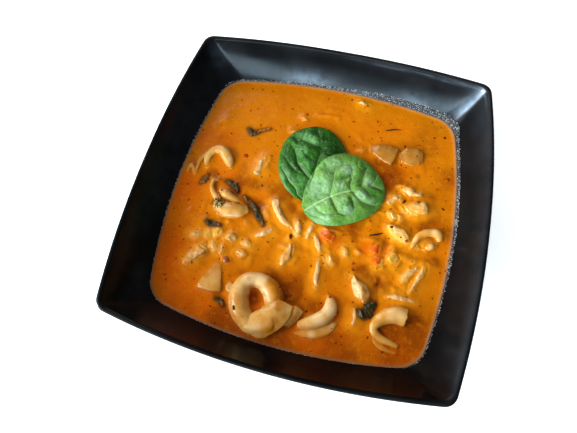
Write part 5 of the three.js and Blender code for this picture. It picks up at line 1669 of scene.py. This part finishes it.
leafTones = {
    "leaf_back": {
        "deep": (0.006, 0.040, 0.005, 1), "green": (0.034, 0.165, 0.010, 1), "sheen_tone": (0.17, 0.42, 0.14, 1),
        "vein": (0.17, 0.36, 0.09, 1), "edge": (0.12, 0.27, 0.04, 1), "roughness": (0.20, 0.30),
    },
    "leaf_front": {
        "deep": (0.036, 0.140, 0.010, 1), "green": (0.190, 0.400, 0.062, 1), "sheen_tone": (0.39, 0.64, 0.36, 1),
        "vein": (0.44, 0.68, 0.27, 1), "edge": (0.10, 0.30, 0.05, 1), "roughness": (0.18, 0.28),
    },
}


def leafMaterial(node):
    tones = leafTones[node]
    fixed = {
        "IOR": 1.42,
        "Specular IOR Level": 0.34,
        "Subsurface Weight": 0.1,
        "Subsurface Radius": (0.3, 1.0, 0.2),
        "Subsurface Scale": 0.0006,
    }
    material, tree, shader = newMaterial("fresh_" + node, fixed)
    place = placeOn(tree)
    patches = noiseOn(tree, place, 6, 4, 0.6)
    mottle = noiseOn(tree, place, 1.3, 3, 0.6)
    net = cellsOn(tree, place, 1.8)
    tone = layered(tree, tones["deep"], [
        (fade(tree, patches, 0.32, 0.6, 0.15, 1), tones["green"]),
        (times(tree, fieldOf(tree, "shade"), 0.75), tones["deep"]),
        # painted sheen at the sheen spots, broken by the mottle
        (times(tree, fieldOf(tree, "sheen"), fade(tree, mottle, 0.3, 0.7, 0.62, 1)), tones["sheen_tone"]),
        (fade(tree, mottle, 0.48, 0.33, 0, 0.36), tones["deep"]),
        # painted glints on the mottle
        (fade(tree, mottle, 0.54, 0.68, 0, 0.13), tones["sheen_tone"]),
        # painted shade in the creases
        (times(tree, fieldOf(tree, "crease"), 0.65), tones["deep"]),
        (fade(tree, net, 0, 0.05, 0.15, 0), tones["vein"]),
        (fieldOf(tree, "line"), tones["vein"]),
        (times(tree, fieldOf(tree, "edge"), 0.6), tones["edge"]),
    ])
    bump = bumpOf(tree, fade(tree, net, 0, 0.3), 0.03, bumpOf(tree, mottle, 0.22))
    connect(tree, shader, tone, fade(tree, mottle, 0.3, 0.7, *tones["roughness"]), bump)
    return material


for node in ("leaf_back", "leaf_front"):
    onTop = node == "leaf_front"
    shape, fields = leafShape(leaves[node], onTop)
    addPiece(node + "_fresh", shape, leafMaterial(node), [node], fields)
print("the fresh leaves are on top")


# Pepper, chilli and herbs: some where the photo shows them, as x, y and size, and the rest strewn

specks = {
    "pepper": {
        "count": 110, "size": (0.2, 0.5), "flat": 0.36, "tone": (0.070, 0.012, 0.0015, 1),
        "placed": [
            (-62.6, 63.8, 0.6), (-54.3, 56.9, 0.6), (-50.9, 75.2, 0.7), (-44.3, 47.4, 0.7),
            (-33.5, 45.7, 0.5), (-31.9, 37.3, 0.5), (-81, 34.9, 0.7), (-57.3, 8.6, 0.5), (4.5, 84.1, 0.5),
            (15.2, 64, 0.7), (39.1, 67.9, 0.5), (32.1, 60.3, 0.6), (34.8, 56, 0.5), (35.9, 54.1, 0.5),
            (59.6, 56.2, 0.5), (61.5, 59.9, 0.5), (74.6, 65.3, 0.9), (71, 72.4, 0.4), (71.4, 53.1, 0.5),
            (53.8, 38.6, 0.5), (73.4, 42.9, 0.5), (81.9, 44.4, 0.6), (30.9, 44.7, 0.5), (-80.4, -23, 0.6),
            (-31.1, 4.7, 0.8), (-64.4, -18.4, 0.4), (-60.4, 6.1, 0.5), (-61.3, -33.1, 0.5),
            (-74.8, -40.8, 0.4), (-42.4, -39.9, 0.5), (-20.6, -1.7, 0.4), (56.2, 14.8, 1.1),
            (80.7, 21.7, 0.5), (39, -2.2, 0.5), (25, -14.8, 0.5), (15.3, -30.2, 0.5), (49.6, -38.8, 0.7),
            (86.9, -15.6, 0.6), (82.9, -23.7, 0.6), (85.9, -21.7, 0.5), (80.9, -39, 0.6),
            (-5.1, -23.2, 1.3), (51.6, -10.2, 0.6), (57.7, -8.7, 0.5), (51.6, -3.7, 0.9), (64.5, 16.4, 0.8),
            (-69.4, -66.2, 0.6), (-53.1, -61.7, 0.5), (-39.3, -74.3, 0.6), (-29, -75.8, 0.6),
            (-33.9, -82.5, 0.6), (-42.5, -46.7, 0.5), (-68, -52.7, 0.5), (1.4, -58.2, 0.6),
            (-24.5, -72.2, 1.2), (36.1, -71.8, 0.6), (58.9, -74.2, 0.7), (79.8, 15.8, 0.9),
            (-3.4, -55.1, 0.5), (4.6, -48.4, 0.5), (21.7, -83.6, 0.4),
        ],
    },
    "chilli": {
        "count": 120, "size": (0.24, 0.65), "flat": 0.3, "tone": (0.27, 0.030, 0.002, 1),
        "placed": [
            (-58, 74.5, 0.8), (-47.3, 23.1, 1.5), (-47, 22.9, 1.1), (-16.1, 62.4, 1.2), (-61.8, 37, 0.8),
            (-60.9, 5.9, 0.9), (10.8, 80.6, 0.9), (30.5, 67.7, 0.7), (19, 46.5, 0.9), (48.7, 48.5, 0.8),
            (50.6, 39.4, 0.9), (80, 36, 1.2), (45.6, 30, 1.3), (68.3, 63.8, 0.8), (37.7, 82.8, 0.6),
            (-54.4, 3.4, 0.7), (-73.4, -15.3, 0.8), (34.1, -30.3, 1), (34.7, -34.1, 0.9), (25.6, -53, 0.9),
            (14.3, -63.4, 0.8), (61.3, -9.8, 0.8), (33.8, -75.9, 0.7), (36.9, -75.9, 0.6),
            (-57.9, -52.8, 0.7), (-67.7, -40.4, 0.6),
        ],
    },
    "herbs": {
        "count": 45, "size": (0.3, 0.65), "flat": 0.25, "tone": (0.075, 0.032, 0.004, 1),
        "placed": [
            (-54, -5, 0.9), (14.8, 52.4, 0.7), (-59.2, -21, 0.8), (-26.9, 64.5, 0.6), (1, -58, 0.7),
            (17.8, -34.4, 0.7), (-17.6, -29.8, 0.6), (50.8, 53.1, 0.9), (59, 47, 0.6), (-29.5, 34.8, 0.6),
        ],
    },
}
# Sticks: start, middle, end and half width, and which share of that width each of the three has
herbSticks = {
    "places": [
        ((37.0, 61.9), (41.6, 63.9), (46.2, 64.8), 0.42),
        ((40.0, -11.2), (43.6, -9.9), (47.2, -8.0), 0.55),
    ],
    "shares": (0.7, 1, 0.5), "raise": 0.3, "seed": 77, "tone": (0.028, 0.016, 0.006, 1),
}


# How specks are strewn: least distance from the wall, power that makes most of them small, the share that
# may lie on food higher than dry over the soup, how lumpy each is, its length and width, how far it sinks
strewing = {
    "seed": 1000, "reach": 88, "fromWall": 1.5, "smaller": 2.2, "onFood": 0.25, "dry": 0.4,
    "lumpy": 0.28, "lump": 1.1, "long": (0.9, 1.5), "wide": (0.7, 1), "sink": 0.1, "smallest": 0.5,
}


def chipShape():
    build = bmesh.new()
    bmesh.ops.create_icosphere(build, subdivisions=2, radius=1.0)
    points = np.array([list(vertex.co) for vertex in build.verts])
    faces = [tuple(vertex.index for vertex in face.verts) for face in build.faces]
    build.free()
    return points, faces


def speckPlaces(kind, draw):
    places = list(kind["placed"])
    least, most = kind["size"]
    while len(places) < len(kind["placed"]) + kind["count"]:
        x, y = draw.uniform(-strewing["reach"], strewing["reach"], 2)
        if wallDistance(np.array([[x, y]]))[0] < strewing["fromWall"]:
            continue
        size = least + (most - least) * draw.random() ** strewing["smaller"]
        food = foodTree.ray_cast(Vector((x, y, overAll)), Vector((0, 0, -1)))[0]
        if food is not None and food.z > soupLevel + strewing["dry"] and draw.random() > strewing["onFood"]:
            continue
        places.append((x, y, size))
    return places


def scatter(kind, seed):
    chipPoints, chipFaces = chipShape()
    draw = np.random.default_rng(seed)
    chips = []
    fineness = []
    for x, y, size in speckPlaces(kind, draw):
        lumps = unevenness(chipPoints, strewing["lump"], int(draw.integers(1, 9999)))
        high = size * kind["flat"]
        stretch = [size * draw.uniform(*strewing["long"]), size * draw.uniform(*strewing["wide"]), high]
        chip = chipPoints * (1 + strewing["lumpy"] * lumps)[:, None] * np.array(stretch)
        u, v, w = chip.T
        turn = draw.uniform(0, math.pi)
        cos, sin = math.cos(turn), math.sin(turn)
        spun = np.column_stack([u * cos - v * sin, u * sin + v * cos, w])
        z = heightUnder(groundTree, x, y) - high * strewing["sink"]
        chips.append((spun + np.array([x, y, z]), chipFaces))
        fineness += [1 - min(1, max(0, (size - strewing["smallest"]) / 0.5))] * len(spun)
    return joinShapes(chips), {"fine": fineness}


def speckMaterial(name, tone):
    material, tree, shader = newMaterial(name, {"IOR": 1.4, "Specular IOR Level": 0.06})
    place = placeOn(tree)
    patches = noiseOn(tree, place, 0.8, 3)
    pale = tuple(min(1.0, value * 2.2) for value in tone[:3]) + (1,)
    mixed = mixColours(tree, fade(tree, patches, 0.4, 0.7), tone, pale)
    filmed = mixColours(tree, times(tree, fieldOf(tree, "fine"), 0.75), mixed, soupTones["fleck"])
    bump = bumpOf(tree, noiseOn(tree, place, 0.25, 2), 0.05)
    connect(tree, shader, filmed, fade(tree, patches, 0.3, 0.7, 0.3, 0.55), bump)
    return material


for order, (name, kind) in enumerate(specks.items()):
    shape, fields = scatter(kind, strewing["seed"] + order)
    skin = speckMaterial(name + "_brown", kind["tone"])
    addPiece(name + "_specks", shape, skin, (), fields)

sticks = []
for *spots, half in herbSticks["places"]:
    keys = []
    for (x, y), share in zip(spots, herbSticks["shares"]):
        lift = heightUnder(groundTree, x, y) - soupLevel + herbSticks["raise"]
        keys.append((x, y, lift, half * share))
    sticks.append(softBody(keys, seed=herbSticks["seed"]))
addPiece("herb_sticks", joinShapes(sticks), speckMaterial("herb_stalk", herbSticks["tone"]))
print("pepper, chilli and herbs are strewn")


# Residue and drops that steam leaves on the wall: band gives heights at angles from +X, towards +Y

drops = {
    "perMillimetre": 6.5,
    "band": (
        (0, 1.9), (30, 2.3), (44, 3.5), (60, 3.9), (95, 1.6), (125, 0.9), (150, 0.7), (185, 0.4), (215, 0.25),
        (305, 0.25), (325, 1), (345, 1.6), (360, 1.9),
    ),
    "filmAngles": 720,
    "filmRows": 6,
    "film": 0.12,
    "filmFrom": 0.3,
    "from": 0.5,
    "seed": 1100,
    "size": (0.13, 0.36),
    "tall": 0.62,
    "uneven": ((0.16, 9, 1090), (0.10, 2.5, 1091)),   # share, size and seed of each noise
    "sides": 7,
    "rings": 2,
    "tone": (0.44, 0.44, 0.43, 1),
    "filmTone": (0.018, 0.018, 0.019, 1),
}


def bandHeight(theta):
    angles, heights = zip(*drops["band"])
    height = np.interp(np.degrees(theta) % 360, angles, heights)
    circle = np.column_stack([np.cos(theta), np.sin(theta), np.zeros_like(theta)]) * 40
    return height * noisy(circle, 1, *drops["uneven"])


def onWall(theta, lift):
    # a spot on the wall at this height over the soup, and the way that it faces
    out = Vector((math.cos(theta), math.sin(theta), 0))
    place, normal = bowlTree.ray_cast(Vector((*soupMiddle, soupLevel + lift)), out)[:2]
    if normal.dot(out) > 0:
        normal = -normal
    return place, normal


def wallFilm():
    angles = np.linspace(0, 2 * math.pi, drops["filmAngles"] + 1)
    heights = bandHeight(angles)
    net = np.zeros((len(angles), drops["filmRows"], 3))
    for i, (theta, height) in enumerate(zip(angles, heights)):
        for k in range(drops["filmRows"]):
            place, normal = onWall(theta, drops["filmFrom"] + height * k / (drops["filmRows"] - 1))
            net[i, k] = place + normal * drops["film"] * 0.6
    return thinSheet(net, drops["film"])


def dropDome():
    sides, rings = drops["sides"], drops["rings"]
    rows = []
    faces = []
    for k in range(rings):
        lift = k / rings * math.pi / 2
        for j in range(sides):
            turn = j * 2 * math.pi / sides
            rows.append((math.cos(turn) * math.cos(lift), math.sin(turn) * math.cos(lift), math.sin(lift)))
            a = k * sides + j
            b = k * sides + (j + 1) % sides
            faces.append((a, b, b + sides, a + sides) if k < rings - 1 else (a, b, sides * rings))
    faces.append(tuple(range(sides - 1, -1, -1)))
    return np.array([*rows, (0, 0, 1)]), faces


def wallDrops():
    draw = np.random.default_rng(drops["seed"])
    domePoints, domeFaces = dropDome()
    found = []
    perimeter = 4 * 2 * surfaceSection[1]
    highest = max(height for angle, height in drops["band"])
    least, most = drops["size"]
    for _ in range(round(drops["perMillimetre"] * perimeter)):
        theta = draw.uniform(0, 2 * math.pi)
        height = float(bandHeight(np.array([theta]))[0])
        keep = draw.random()
        lift = drops["from"] + height * (1.02 - 0.9 * draw.random() ** 1.3)
        size = least + (most - least) * draw.random() ** 2
        if keep > height / highest + 0.05:
            continue
        place, normal = onWall(theta, lift)
        turn = np.array(normal.to_track_quat("Z", "Y").to_matrix())
        dome = (domePoints * np.array([size, size, size * drops["tall"]])) @ turn.T
        found.append((dome + np.array(place), domeFaces))
    film = wallFilm()
    whole = joinShapes([film, *found])
    beads = np.ones(len(whole[0]))
    beads[:len(film[0])] = 0
    return whole, {"bead": beads}


def dropMaterial():
    material, tree, shader = newMaterial("steam_drop", {"IOR": 1.33})
    place = placeOn(tree)
    bead = fieldOf(tree, "bead")
    grains = fade(tree, cellsOn(tree, place, 0.62, "F1"), 0.1, 0.34, 1, 0)
    sparkle = times(tree, grains, fade(tree, noiseOn(tree, place, 1.3, 2), 0.45, 0.65))
    tone = layered(tree, drops["filmTone"], [(sparkle, drops["tone"]), (bead, drops["tone"])])
    connect(tree, shader, tone, fade(tree, bead, 0, 1, 0.5, 0.12))
    return material


bowlTree = treeOf([bowl])
beads, beadFields = wallDrops()
addPiece("wall_drops", beads, dropMaterial(), (), beadFields)
print("drops are on the wall")
